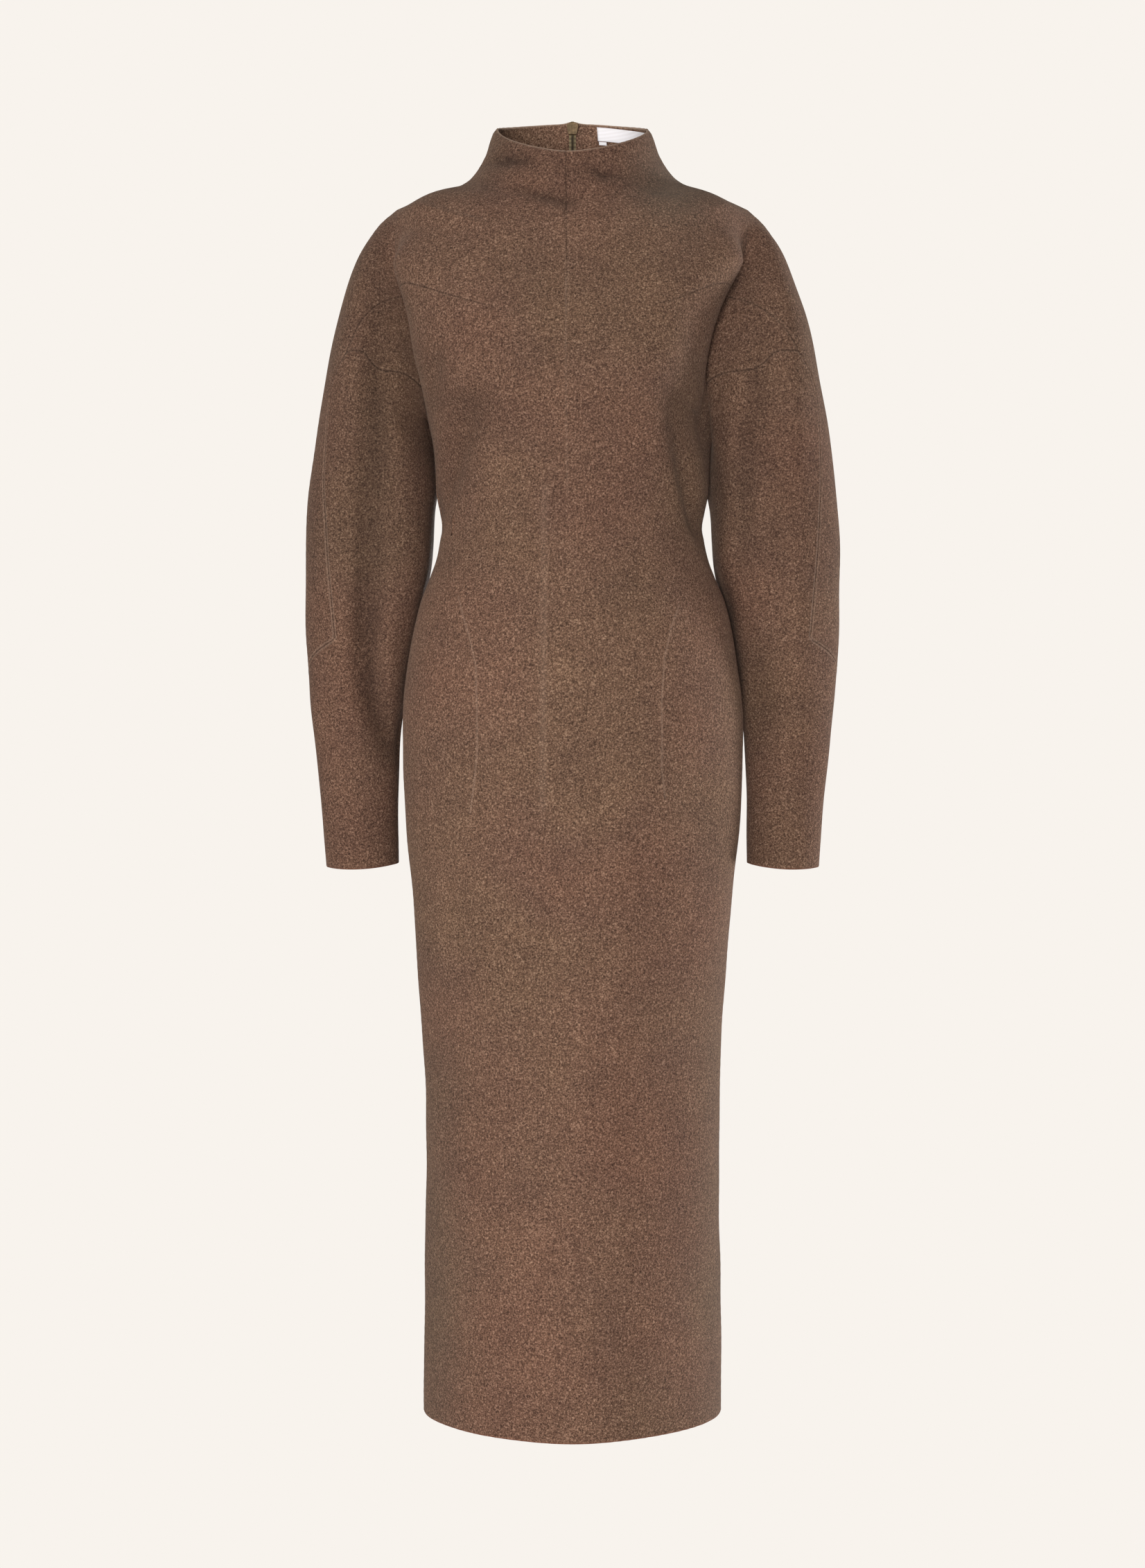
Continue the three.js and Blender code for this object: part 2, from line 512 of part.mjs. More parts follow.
// The wall of one panel over its faces, drawn in by half the seam's gap at the edges.
const MITRE_LEAST = 0.35; // keeps a sharp corner's pull short
function wall(faces) {
  const uses = new Map();
  for (const { loop } of faces) {
    loop.forEach((a, i) => uses.set(`${a},${loop[(i + 1) % loop.length]}`, loop));
  }
  const rim = [...uses.keys()].map((key) => key.split(",").map(Number))
    .filter(([a, b]) => !uses.has(`${b},${a}`));
  const inwards = new Map();
  for (const [a, b] of rim) {
    const line = sheet.points[b].at.clone().sub(sheet.points[a].at).normalize();
    for (const c of [a, b]) {
      if (!inwards.has(c)) inwards.set(c, []);
      inwards.get(c).push(sheet.points[c].normal.clone().cross(line).normalize());
    }
  }
  const used = [...new Set(faces.flatMap(({ loop }) => loop))];
  const place = new Map(used.map((c, i) => [c, i]));
  const positions = [];
  for (const level of [0, -CLOTH]) {
    for (const c of used) {
      const { at, normal } = sheet.points[c];
      const moved = at.clone().addScaledVector(normal, level);
      const pulls = inwards.get(c);
      if (pulls) {
        const [one, two] = [pulls[0], pulls.at(-1)];
        const share = Math.max(1 + one.dot(two), MITRE_LEAST);
        moved.addScaledVector(one.clone().add(two), SEAM_GAP / 2 / share);
      }
      positions.push(...moved.toArray());
    }
  }
  const triangles = [];
  const under = used.length;
  for (const { loop } of faces) {
    const corners = loop.map((c) => place.get(c));
    for (let i = 2; i < corners.length; i += 1) {
      const [a, b, c] = [corners[0], corners[i - 1], corners[i]];
      triangles.push(a, b, c, c + under, b + under, a + under);
    }
  }
  for (const pair of rim) {
    const [a, b] = pair.map((c) => place.get(c));
    // Both panels at a seam split its edge the same way, so that their ends stay parallel.
    if (pair[0] < pair[1]) triangles.push(b, a, a + under, a + under, b + under, b);
    else triangles.push(b, a, b + under, a, a + under, b + under);
  }
  return asSolid(positions, triangles);
}

// A thin slab over a grid of points: its outside `from` inwards of them and its inside `to`.
function slab(grid, from, to) {
  const rows = grid.length;
  const columns = grid[0].length;
  const point = (r, c) =>
    grid[Math.min(Math.max(r, 0), rows - 1)][Math.min(Math.max(c, 0), columns - 1)];
  const positions = [];
  for (const level of [from, to]) {
    for (let r = 0; r < rows; r += 1) {
      for (let c = 0; c < columns; c += 1) {
        const across = point(r, c + 1).clone().sub(point(r, c - 1));
        const down = point(r + 1, c).clone().sub(point(r - 1, c));
        const inwards = down.cross(across).normalize();
        positions.push(...point(r, c).clone().addScaledVector(inwards, level).toArray());
      }
    }
  }
  const under = rows * columns;
  const at = (r, c) => r * columns + c;
  const triangles = [];
  const quad = (a, b, c, d) => triangles.push(a, b, c, a, c, d);
  for (let r = 1; r < rows; r += 1) {
    for (let c = 1; c < columns; c += 1) {
      const [a, b, d, e] = [at(r - 1, c - 1), at(r - 1, c), at(r, c), at(r, c - 1)];
      quad(a, b, d, e);
      quad(e + under, d + under, b + under, a + under);
    }
  }
  const side = (a, b) => quad(b, a, a + under, b + under);
  for (let c = 1; c < columns; c += 1) {
    side(at(0, c - 1), at(0, c));
    side(at(rows - 1, c), at(rows - 1, c - 1));
  }
  for (let r = 1; r < rows; r += 1) {
    side(at(r, 0), at(r - 1, 0));
    side(at(r - 1, columns - 1), at(r, columns - 1));
  }
  return asSolid(positions, triangles);
}

// Points down the centre back between two heights, each with its x set.
function backLine(top, end, x) {
  const line = sheet.leftBack.map(([centre]) => sheet.points[centre].at);
  const at = (z) => {
    const next = line.findIndex((p) => p.z <= z);
    const [a, b] = [line[Math.max(next - 1, 0)], line[Math.max(next, 1)]];
    return mix(a.y, b.y, (z - a.z) / (b.z - a.z));
  };
  const between = line.map((p) => p.z).filter((z) => z < top - 1 && z > end + 1);
  return [top, ...between, end].map((z) => new THREE.Vector3(x, at(z), z));
}

// A strip down the centre back between two x, as a grid for a slab.
function backStrip(top, end, xFrom, xTo) {
  const [one, two] = [backLine(top, end, xFrom), backLine(top, end, xTo)];
  return one.map((p, i) => [p, two[i]]);
}

// The places of a range's ends and of the whole steps between them.
function stops(first, last) {
  const whole = [];
  for (let i = Math.floor(first) + 1; i < last; i += 1) whole.push(i);
  return [first, ...whole, last];
}

// A patch of the collar's wall on the wearer's left of the centre back, as a grid for a slab.
function collarPatch({ from, to, top, foot }) {
  const cell = (row, column) => sheet.points[sheet.leftBack[row][column]].at;
  const between = (row, column) => {
    const [r, c] = [Math.floor(row), Math.floor(column)];
    const upper = cell(r, c).clone().lerp(cell(r, c + 1), column - c);
    return upper.lerp(cell(r + 1, c).clone().lerp(cell(r + 1, c + 1), column - c), row - r);
  };
  return stops((1 - top) * SHOULDER_ROWS, (1 - foot) * SHOULDER_ROWS).map((row) =>
    stops(from * BODY_COLUMNS, to * BODY_COLUMNS).map((column) => between(row, column)));
}

// An outline in a plane of constant x or y, as a solid between two depths.
function plate(outline, depth, lie) {
  const shape = new THREE.Shape(outline.map(([u, v]) => new THREE.Vector2(u, v)));
  const flat = new THREE.ExtrudeGeometry(shape, { depth, bevelEnabled: false });
  return flat.applyMatrix4(lie);
}

const ring = (radius, sides, [u, v]) => Array.from({ length: sides }, (_, i) => {
  const angle = (2 * Math.PI * i) / sides;
  return [u + radius * Math.cos(angle), v + radius * Math.sin(angle)];
});

// Lays (u, v, w) along (x, z, -y), or along (y, z, x).
const facingFront = (y) => new THREE.Matrix4().set(1, 0, 0, 0, 0, 0, -1, y, 0, 1, 0, 0, 0, 0, 0, 1);
const facingSide = (x) => new THREE.Matrix4().set(0, 0, 1, x, 1, 0, 0, 0, 0, 1, 0, 0, 0, 0, 0, 1);

function box(xs, ys, zs) {
  const size = [xs, ys, zs].map(([low, high]) => high - low);
  const middle = [xs, ys, zs].map(([low, high]) => (low + high) / 2);
  return solidOf(new THREE.BoxGeometry(...size).translate(...middle));
}

// The whole outline of a shape whose one side is given, the way round that ExtrudeGeometry takes.
const mirrored = (half) => [...half, ...half.map(([u, v]) => [-u, v]).reverse()]
  .filter(([u, v], i, all) => i === 0 || u !== all[i - 1][0] || v !== all[i - 1][1]);

function sliderSolid() {
  const { front, back, neck, shield } = SLIDER;
  let solid = solidOf(plate(mirrored(shield), back - front, facingFront(back)));
  solid = solid.add(box([-neck.half, neck.half], [neck.front, neck.back], [neck.low, neck.top]));
  for (const side of [-1, 1]) {
    const xs = [side * LUG.inner, side * LUG.outer].sort((a, b) => a - b);
    solid = solid.add(box(xs, [neck.back - JOINED, LUG.back],
      [PIN.z - LUG.half, PIN.z + LUG.half]));
  }
  const pin = plate(ring(PIN.radius, PIN.sides, [PIN.y, PIN.z]), 2 * (LUG.inner + JOINED),
    facingSide(-LUG.inner - JOINED));
  return solid.add(solidOf(pin));
}

function pullTabSolid() {
  const { eye, ring: outer, wide, thick, blade, sides } = TAB;
  const loop = solidOf(plate(ring(outer, sides, [PIN.y, PIN.z]), 2 * wide, facingSide(-wide)))
    .subtract(solidOf(plate(ring(eye, sides, [PIN.y, PIN.z]), 4 * wide, facingSide(-2 * wide))));
  const drop = plate(mirrored(blade).reverse(), thick, facingFront(PIN.y + thick / 2));
  return loop.add(solidOf(drop));
}

const knit = new THREE.MeshStandardMaterial({ color: "#6c5244", roughness: 0.95, metalness: 0 });
const garment = new THREE.Group();
function addMesh(name, solid, material) {
  const mesh = new THREE.Mesh(asGeometry(solid), material);
  mesh.name = name;
  garment.add(mesh);
}

const panels = [...new Set(sheet.faces.map(({ panel }) => panel))];
for (const panel of panels) {
  addMesh(panel, wall(sheet.faces.filter((f) => f.panel === panel)), knit);
}

const tapeCloth = new THREE.MeshStandardMaterial({ color: "#5f5238", roughness: 0.9, metalness: 0 });
const zipMetal = new THREE.MeshStandardMaterial({ color: "#7a6a3c", roughness: 0.4, metalness: 0.8 });
const labelCloth = new THREE.MeshStandardMaterial({ color: "#eeeae6", roughness: 0.8, metalness: 0 });

const tapeOut = CLOTH + ZIP.clear;
const tapeIn = tapeOut + ZIP.thick;
const stopOut = tapeIn + ZIP_STOP.clear;
for (const side of [-1, 1]) {
  const xs = [(side * SEAM_GAP) / 2, side * ZIP.tape].sort((a, b) => a - b);
  addMesh(`zip_tape_${sideName(side)}`, slab(backStrip(ZIP.top, ZIP.end, ...xs), tapeOut, tapeIn),
    tapeCloth);
}
const stop = backStrip(ZIP.end + ZIP_STOP.length, ZIP.end, -ZIP_STOP.wide / 2, ZIP_STOP.wide / 2);
addMesh("zip_stop", slab(stop, stopOut, stopOut + ZIP_STOP.thick), zipMetal);
addMesh("zip_slider", sliderSolid(), zipMetal);
addMesh("zip_pull_tab", pullTabSolid(), zipMetal);
for (const [name, label] of [["neck_label", LABEL], ["small_label", SMALL_LABEL]]) {
  const out = CLOTH + label.clear;
  addMesh(name, slab(collarPatch(label), out, out + label.thick), labelCloth);
}

export default garment;
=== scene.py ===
"""The looks of a long-sleeved sweater dress of felted wool knit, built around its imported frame.

The front faces -Y, up is +Z and the wearer's left is +X. Lengths in the tables are millimetres;
every Blender mesh is in metres. The cloth is one surface worked out from sections, split along
its seams into the panels that a maker cuts, and each panel is a closed shell of the knit.
"""
import json
import math
from functools import lru_cache

import bmesh
import bpy
import numpy as np
from bpy.props import FloatProperty, FloatVectorProperty, IntProperty, PointerProperty, StringProperty
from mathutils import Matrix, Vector, kdtree

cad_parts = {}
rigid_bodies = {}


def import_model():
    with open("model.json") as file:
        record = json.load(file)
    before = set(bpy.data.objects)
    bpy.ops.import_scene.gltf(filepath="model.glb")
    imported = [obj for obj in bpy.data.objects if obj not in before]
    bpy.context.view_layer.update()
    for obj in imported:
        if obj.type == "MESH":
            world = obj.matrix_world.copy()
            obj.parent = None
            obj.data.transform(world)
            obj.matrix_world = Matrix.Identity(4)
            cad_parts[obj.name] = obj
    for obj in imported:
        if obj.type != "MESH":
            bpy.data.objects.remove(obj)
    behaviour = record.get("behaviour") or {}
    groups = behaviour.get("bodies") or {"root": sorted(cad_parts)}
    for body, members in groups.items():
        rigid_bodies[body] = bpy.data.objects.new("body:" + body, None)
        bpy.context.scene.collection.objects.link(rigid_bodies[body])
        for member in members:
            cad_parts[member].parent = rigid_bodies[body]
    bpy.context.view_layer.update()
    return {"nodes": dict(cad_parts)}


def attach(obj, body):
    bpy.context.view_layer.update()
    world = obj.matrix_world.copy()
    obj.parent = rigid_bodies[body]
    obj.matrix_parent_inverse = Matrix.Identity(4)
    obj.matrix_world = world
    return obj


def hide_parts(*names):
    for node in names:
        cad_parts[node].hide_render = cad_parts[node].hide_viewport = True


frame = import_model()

bl_info = {
    "name": "Sweater dress of felted wool knit",
    "version": (1, 0, 0),
    "blender": (4, 5, 0),
    "location": "3D View > Sidebar > Dress",
    "description": "Builds the dress's cloth, seams, zip and labels, and a plain stage for it",
    "category": "Object",
}

MM = 0.001

# The cut and the sections.

HEM = -1240.0
ARMPIT = -238.0
BODY_COLUMNS = 9
SHOULDER_ROWS = 8
OVER_COLUMNS = 6
UNDER_COLUMNS = 7
ARM_ROWS = OVER_COLUMNS + UNDER_COLUMNS
GUSSET_COLUMNS = 4
GUSSET_ROWS = 4
SLEEVE_ROWS = 17
DART_COLUMN = 4.0
ARMHOLE_END = SHOULDER_ROWS + ARM_ROWS
CHEST_ROW = SHOULDER_ROWS + OVER_COLUMNS

# The body below the armpit: height, half its width, and how full its section is.
SIDE = [
    (-238, 146.5, 2.1), (-264, 141.5, 2.1), (-298, 138.3, 2.1), (-318, 136.4, 2.1),
    (-332, 133.7, 2.05), (-349, 131.3, 2), (-365, 133.4, 2), (-382, 137, 2), (-399, 143.6, 2),
    (-424, 153.7, 2), (-458, 161.6, 2), (-491, 167, 2), (-540, 171.5, 2), (-584, 171.2, 2),
    (-617, 169.8, 1.98), (-651, 167.7, 1.95), (-685, 165, 1.92), (-735, 160, 1.88),
    (-802, 155, 1.84), (-869, 150.2, 1.8), (-935, 148.4, 1.78), (-1050, 148.6, 1.75),
    (-1240, 150, 1.72)]
# Height, how far the centre front stands from the middle, and where its seam lies.
FRONT = [
    (11, 72, -6.4), (-8, 75, -6.4), (-28, 81, -6.2), (-45, 88, -6), (-62, 95, -6),
    (-80, 101, -5.8), (-120, 114, -5.4), (-164, 127, -5), (-200, 135, -4.5), (-222, 136, -4),
    (-250, 130, -3.4), (-300, 113, -2.2), (-349, 105, -1), (-400, 109, 0), (-450, 114, 0),
    (-500, 116, 0), (-600, 114, 0), (-800, 113, 0), (-1240, 116, 0)]
BACK = [
    (76, 62), (50, 62), (25, 64), (0, 70), (-40, 84), (-80, 95), (-130, 104), (-180, 107),
    (-240, 102), (-300, 90), (-349, 83), (-400, 89), (-450, 102), (-500, 112), (-560, 118),
    (-620, 117), (-700, 114), (-800, 113), (-1240, 116)]
# The side line from the shoulder up to the collar's edge, and the centre heights of its rows.
SHOULDER = [
    (0, 178, 8, -27, -80, -22), (0.13, 150, 8, -15.4, -64, -6), (0.25, 127, 7, -7, -52, 8),
    (0.36, 113, 6, -1.5, -43, 18), (0.46, 104, 5, 4.5, -36, 27), (0.57, 97, 4, 12.6, -28, 37),
    (0.68, 91.5, 3, 21, -19, 47), (0.79, 87, 2, 29.5, -10, 56), (0.9, 83.4, 1, 40, 1, 66),
    (0.96, 80, 0, 48, 7, 72), (1, 76, 0, 53, 11, 76)]
# Rows that end at the armhole: end height, centre heights, and how far round the row has come.
ARMHOLE = [
    (-27, -80, -22, 84), (-40, -90, -38, 80), (-60, -106, -62, 80), (-78, -122, -84, 84),
    (-95, -138, -106, 90), (-122, -164, -138, 90), (-180, -206, -190, 90),
    (-238, -246, -242, 90)]
# Where the cloth folds over at the arm, in front of the armhole and behind it: height, x, y.
FRONT_FOLD = [
    (-50, 176, -17), (-64, 178, -28), (-78, 179.5, -41), (-95, 178.5, -52), (-122, 170.5, -56),
    (-150, 162.5, -54), (-180, 157, -48), (-205, 152, -38), (-225, 148.5, -24), (-238, 146.5, 4)]
BACK_FOLD = [
    (-78, 180, 50), (-95, 175, 58), (-122, 167, 64), (-150, 160, 66), (-180, 155, 62),
    (-205, 151, 52), (-225, 148.5, 36), (-238, 146.5, 4)]
FOLD_BEGINS = (-48.0, -66.0)
# The left arm hangs closer in front: how far its fold and the cloth beside it lean inwards.
LEFT_FOLD = [
    (-60, 0), (-84, 6), (-119, 15), (-144, 19), (-170, 22), (-190, 22), (-215, 20), (-250, 18),
    (-275, 9), (-300, 2), (-315, 0)]
LEFT_FOLD_REACH = {"inwards": 75, "outwards": 70, "front": -30, "back": 12}
# The sleeve's four lines from the armhole at 0 to the cuff at 14: place along, x, y, z.
OVERARM = [
    (0, 178, 8, -27), (1, 197, 8, -44.5), (2, 215, 8, -75), (3, 231, 9, -120),
    (4, 245.5, 10, -176), (5, 257, 12, -235), (6, 265.8, 15, -294), (7, 271.3, 19, -352),
    (8, 272.8, 24, -410), (9, 271.8, 28, -464), (10, 268.5, 31, -514), (11, 263.8, 31, -560),
    (12, 259.3, 30, -604), (13, 255, 28, -648), (14, 251.4, 26, -692)]
ARM_FRONT = [
    (0, 161, -27, -130), (1, 186, -46, -150), (2, 200, -55, -178), (3, 206, -57, -210),
    (4, 208, -54, -250), (5, 207.5, -48, -290), (6, 207, -42, -332), (7, 208, -36, -376),
    (8, 210.5, -29, -422), (9, 214.5, -21, -468), (10, 218, -12, -514), (11, 219, -6, -560),
    (12, 218, -4, -604), (13, 216.5, -5, -648), (14, 214.5, -8, -694)]
INSIDE = [
    (0, 146.5, 4, -238), (1, 145.7, 12.5, -243), (2, 140.6, 27, -256), (3, 138, 31, -277),
    (4, 136.2, 34, -302), (5, 140.4, 33, -330), (6, 142.4, 31, -360), (7, 145.5, 29, -393),
    (8, 153.6, 29, -428), (9, 162.5, 30, -468), (10, 170, 32, -512), (11, 175, 31, -558),
    (12, 177.2, 30, -602), (13, 177.8, 28, -645), (14, 177.3, 26, -688.5)]
ARM_BACK = [
    (0, 160, 44, -130), (1, 184, 64, -148), (2, 199, 75, -176), (3, 206, 79, -208),
    (4, 208.5, 80, -248), (5, 208, 78, -288), (6, 207.5, 76, -330), (7, 208.5, 75, -374),
    (8, 211, 76, -420), (9, 215, 78, -467), (10, 218.5, 75, -513), (11, 219.5, 68, -559),
    (12, 218.5, 63, -603), (13, 217, 60, -647), (14, 215, 58, -691)]
CUFF = 14.0
# The seam of the over-sleeve: which share of the way round it lies, along the sleeve.
PANEL_SEAM = [
    (0, 0.234), (1.6, 0.212), (3.2, 0.178), (4.3, 0.12), (5.5, 0.122), (7, 0.148), (8.9, 0.18)]
# How much flatter than round each sleeve's front is on the body's side, along the sleeve.
FLATNESS = {1: [(0, 0), (1, 0.3), (3, 1.8), (7, 1.8), (9, 0.3), (14, 0)],
            -1: [(0, 0), (1, 0.3), (3, 1.8), (8.5, 1.8), (10.5, 0.3), (14, 0)]}
CORNER = 3.2
TURN_IN_ROW, TIP_ROW = 9, 10
TURN_IN = CORNER + (CUFF - CORNER) * TURN_IN_ROW / SLEEVE_ROWS
TIP = CORNER + (CUFF - CORNER) * TIP_ROW / SLEEVE_ROWS
TIP_END = GUSSET_ROWS + TIP_ROW

# Soft troughs of the hang, seen from the front or the back: x, z, depth and half width.
TROUGHS = [
    ("body front", (-88, -232, 2, 18), (-104, -258, 7, 17), (-115, -288, 8, 15),
     (-124, -320, 6, 12), (-129, -344, 2, 9)),
    ("body front", (-132, -182, 1, 9), (-136, -206, 5, 11), (-137, -228, 2, 10)),
    ("body front", (84, -214, 1, 16), (99, -240, 4, 14), (105, -280, 6, 10),
     (111, -314, 7, 8), (121, -350, 6, 7), (128, -368, 2, 6)),
    ("body front", (-86, 14, 2, 7), (-64, 8, 5, 8), (-42, 2, 2, 7)),
    ("body front", (-56, -25, 2, 7), (-30, -33, 5, 8), (-6, -41, 5, 8), (14, -36, 2, 7)),
    ("body front", (18, -7, 1, 5), (31, -11, 5, 6), (44, -12, 2, 5)),
    ("body front", (62, -14, 1, 7), (84, -24, 3, 8), (106, -26, 1, 8)),
    ("body back", (-96, -262, 1.5, 14), (-111, -300, 3.5, 13), (-121, -340, 1.5, 10)),
    ("body back", (70, -300, 1, 14), (101, -318, 3, 13), (122, -346, 1.5, 10)),
    ("body back", (-60, -378, 1, 14), (0, -366, 3, 13), (58, -380, 1, 14)),
    ("right sleeve front", (-194, -158, 2, 13), (-192, -214, 8, 14), (-194, -269, 9, 15),
     (-197, -311, 8, 15), (-200, -345, 8, 14), (-203, -420, 11, 14), (-206, -459, 14, 13),
     (-206, -486, 15, 12), (-200, -523, 14, 13), (-190, -550, 10, 14), (-183, -573, 5, 13),
     (-178, -594, 1, 12)),
    ("left sleeve front", (188, -173, 2, 15), (182, -228, 6, 15), (175, -269, 7, 13),
     (171, -325, 7, 11), (170, -379, 6, 11), (175, -421, 1, 11)),
    ("left sleeve front", (203, -262, 1, 11), (204, -310, 4, 11), (203, -370, 4, 11),
     (203, -415, 1, 11)),
    ("left sleeve front", (186, -470, 1, 14), (192, -524, 4, 16), (186, -572, 1, 13)),
    ("right sleeve back", (-205, -330, 1, 16), (-203, -420, 5, 18), (-201, -500, 5, 17),
     (-206, -570, 1, 15)),
    ("left sleeve back", (210, -320, 1, 16), (204, -430, 5, 18), (201, -510, 5, 17),
     (208, -576, 1, 15)),
]
# Rounded ridges, which stand forward of the cloth beside them.
RIDGES = [
    ("left sleeve front", (160, -200, 1, 12), (158, -250, 5, 12), (157, -300, 5, 12),
     (160, -360, 1, 12)),
    ("right sleeve front", (-182, -420, 1, 12), (-184, -460, 5, 12), (-180, -495, 4, 12),
     (-176, -525, 1, 10)),
    ("left sleeve front", (224, -380, 1, 16), (228, -450, 4, 18), (225, -540, 1, 16)),
    ("right sleeve front", (-226, -380, 1, 16), (-230, -450, 4, 18), (-222, -580, 1, 16)),
]
# Faint vertical creases, where the front was pressed, drawn as lines of painted highlight: x and z.
CREASES = [[(-6, -120), (-6.5, -200), (-5, -330)], [(-27, -322), (-28, -480), (-29, -632)]]
# Lines of painted shade, in shadowed gaps, folds and wrinkles: the strength and half width at each
# place.
PAINTED_SHADE_LINES = [
    ("left sleeve front", (152, -392, 0.1, 5), (159, -435, 0.6, 7), (165, -500, 0.65, 7),
     (167, -562, 0.2, 5)),
    ("right sleeve front", (-216, -600, 0, 60), (-216, -700, 0.08, 60)),
    ("body front", (-86, 14, 0.1, 5), (-68, 9, 0.3, 5), (-48, 4, 0.3, 4), (-34, 0, 0, 4)),
    ("body front", (-56, -25, 0.1, 4), (-30, -33, 0.25, 4), (-8, -40, 0.3, 5), (8, -38, 0, 4)),
    ("body front", (14, -5, 0.1, 3), (30, -11, 0.3, 4), (44, -12, 0.2, 3), (62, -22, 0, 4)),
    ("body front", (-30, 2, 0, 3), (-14, -4, 0.15, 3), (0, -12, 0, 3)),
]
# Painted shade: how much darker the colour is painted in hollows (by mm of depth), in the crease at
# each arm (how much, and over how many mm), on the sleeves, on the collar and on the chest.
SHADE_PAINT = {"hollow": 0.032, "crease": {1: (0.45, 3.5), -1: (0.1, 3)}, "sleeve": 0.13,
       "collar": 0.15, "chest": 0.10}
# Patches of painted grey sheen: centre x and z, half widths, and how much.
PAINTED_SHEEN_PATCHES = [(100, -20, 38, 44, 0.3), (-138, -1120, 30, 280, 0.14), (146, -1120, 26, 300, 0.14)]
# The collar's rim, in mm above the outline's at its sides and back, and beside the zip, with
# the half width of the rise there.
RIM_RISE = (1.5, 2.2, 7.0)
BUST = {"x": 80, "z": -214, "high": 6, "across": 46, "along": 48}

# The darts over the hips: x and z of each line. The back ones are plain and even.
DARTS = {
    ("front", -1): [(-112, -424), (-106, -446), (-99.6, -466), (-93, -494), (-92, -530),
                    (-91.7, -578), (-94.5, -606), (-100, -640)],
    ("front", 1): [(105, -430), (95.6, -456), (89, -486), (86, -524), (86, -564),
                   (85.5, -594), (89.5, -624)],
    ("back", -1): [(-92, -372), (-88, -430), (-86, -500), (-87, -560)],
    ("back", 1): [(92, -372), (88, -430), (86, -500), (87, -560)],
}

PARTS = ["body front", "body back", "left sleeve front", "left sleeve back",
         "right sleeve front", "right sleeve back"]
PANELS = ["upper_front_left", "upper_front_right", "upper_back_left", "upper_back_right",
          "front_body", "back_body_left", "back_body_right", "under_sleeve_left",
          "under_sleeve_right"]
QUARTERS = [(face, side) for side in (-1, 1) for face in ("front", "back")]
# Smoothing over each shoulder: reach in mm, passes, how hard each pulls and pushes, the share
# of the way round the arm that it keeps off, samples along that, and its grid to a column.
FAIR = {"reach": 52, "passes": 80, "pull": 0.6, "push": 0.64, "share": 0.15, "samples": 15,
        "finer": 4}


def ease(u):
    v = np.clip(u, 0, 1)
    return v * v * (3 - 2 * v)


def mix(a, b, u):
    return a + (b - a) * u


def curve(rows, column):
    """A smooth curve through one column of a table against its first, with no corner."""
    points = np.array(sorted(rows), float)
    x, y = points[:, 0], points[:, column]
    i = np.arange(len(x))
    before, after = np.maximum(i - 1, 0), np.minimum(i + 1, len(x) - 1)
    slope = (y[after] - y[before]) / (x[after] - x[before])

    def at(v):
        k = np.clip(np.searchsorted(x, v, side="left") - 1, 0, len(x) - 2)
        span = x[k + 1] - x[k]
        u = np.clip((v - x[k]) / span, 0, 1)
        return (y[k] + (y[k + 1] - y[k]) * u * u * (3 - 2 * u)
                + span * (slope[k] * u * (1 - u) ** 2 - slope[k + 1] * u * u * (1 - u)))

    return at


front_depth, front_centre = curve(FRONT, 1), curve(FRONT, 2)
back_depth = curve(BACK, 1)
side_half, side_full = curve(SIDE, 1), curve(SIDE, 2)
panel_seam = curve(PANEL_SEAM, 1)
sleeve_lines = [[curve(line, axis) for axis in (1, 2, 3)]
                for line in (OVERARM, ARM_FRONT, INSIDE, ARM_BACK)]
shoulder_end = [curve(SHOULDER, axis) for axis in (1, 2, 3)]
shoulder_centre = {"front": curve(SHOULDER, 4), "back": curve(SHOULDER, 5)}
armhole_centre = {"front": curve(ARMHOLE, 1), "back": curve(ARMHOLE, 2)}
armhole_turn = curve(ARMHOLE, 3)
fold_line = {"front": (curve(FRONT_FOLD, 1), curve(FRONT_FOLD, 2)),
             "back": (curve(BACK_FOLD, 1), curve(BACK_FOLD, 2))}
left_fold = curve(LEFT_FOLD, 1)
flatness = {side: curve(rows, 1) for side, rows in FLATNESS.items()}


def lean_left_fold(points):
    """Moves the cloth round the left arm's front fold towards the middle."""
    reach = LEFT_FOLD_REACH
    x, y, z = points.T
    off = x - fold_line["front"][0](z)
    across = ease(1 - np.where(off < 0, -off / reach["inwards"], off / reach["outwards"]))
    deep = 1 - ease((y - reach["front"]) / (reach["back"] - reach["front"]))
    moved = points.copy()
    moved[:, 0] -= np.where(x > 0, left_fold(z) * across * deep, 0)
    return moved


def sleeve_point(share, at, side=0):
    """Share 0 is the overarm line, 1/4 the front, 1/2 the inside and 3/4 the back."""
    share, at = np.broadcast_arrays(np.asarray(share, float), np.asarray(at, float))
    top, front, inner, back = (np.stack([axis(at) for axis in line], -1)
                               for line in sleeve_lines)
    angle = 2 * np.pi * share
    over, out = np.cos(angle), np.sin(angle)
    if side:
        # The front lies flat towards the body, and bends sharply there.
        power = 2 / (2 + flatness[side](at))
        inside = (over < 0) & (out > 0)
        over = np.where(inside, -np.abs(over) ** power, over)
        out = np.where(inside, np.abs(out) ** power, out)
    over, out = over[..., None], out[..., None]
    middle, wide = (top + inner) / 2, (front + back) / 2
    return (middle + over * (top - inner) / 2 + out * (front - back) / 2
            + out * out * (wide - middle))


def seam_share(at):
    closing = panel_seam(TURN_IN) * (TIP - at) / (TIP - TURN_IN)
    return np.where(at >= TIP - 1e-9, 0, np.where(at <= TURN_IN, panel_seam(at), closing))


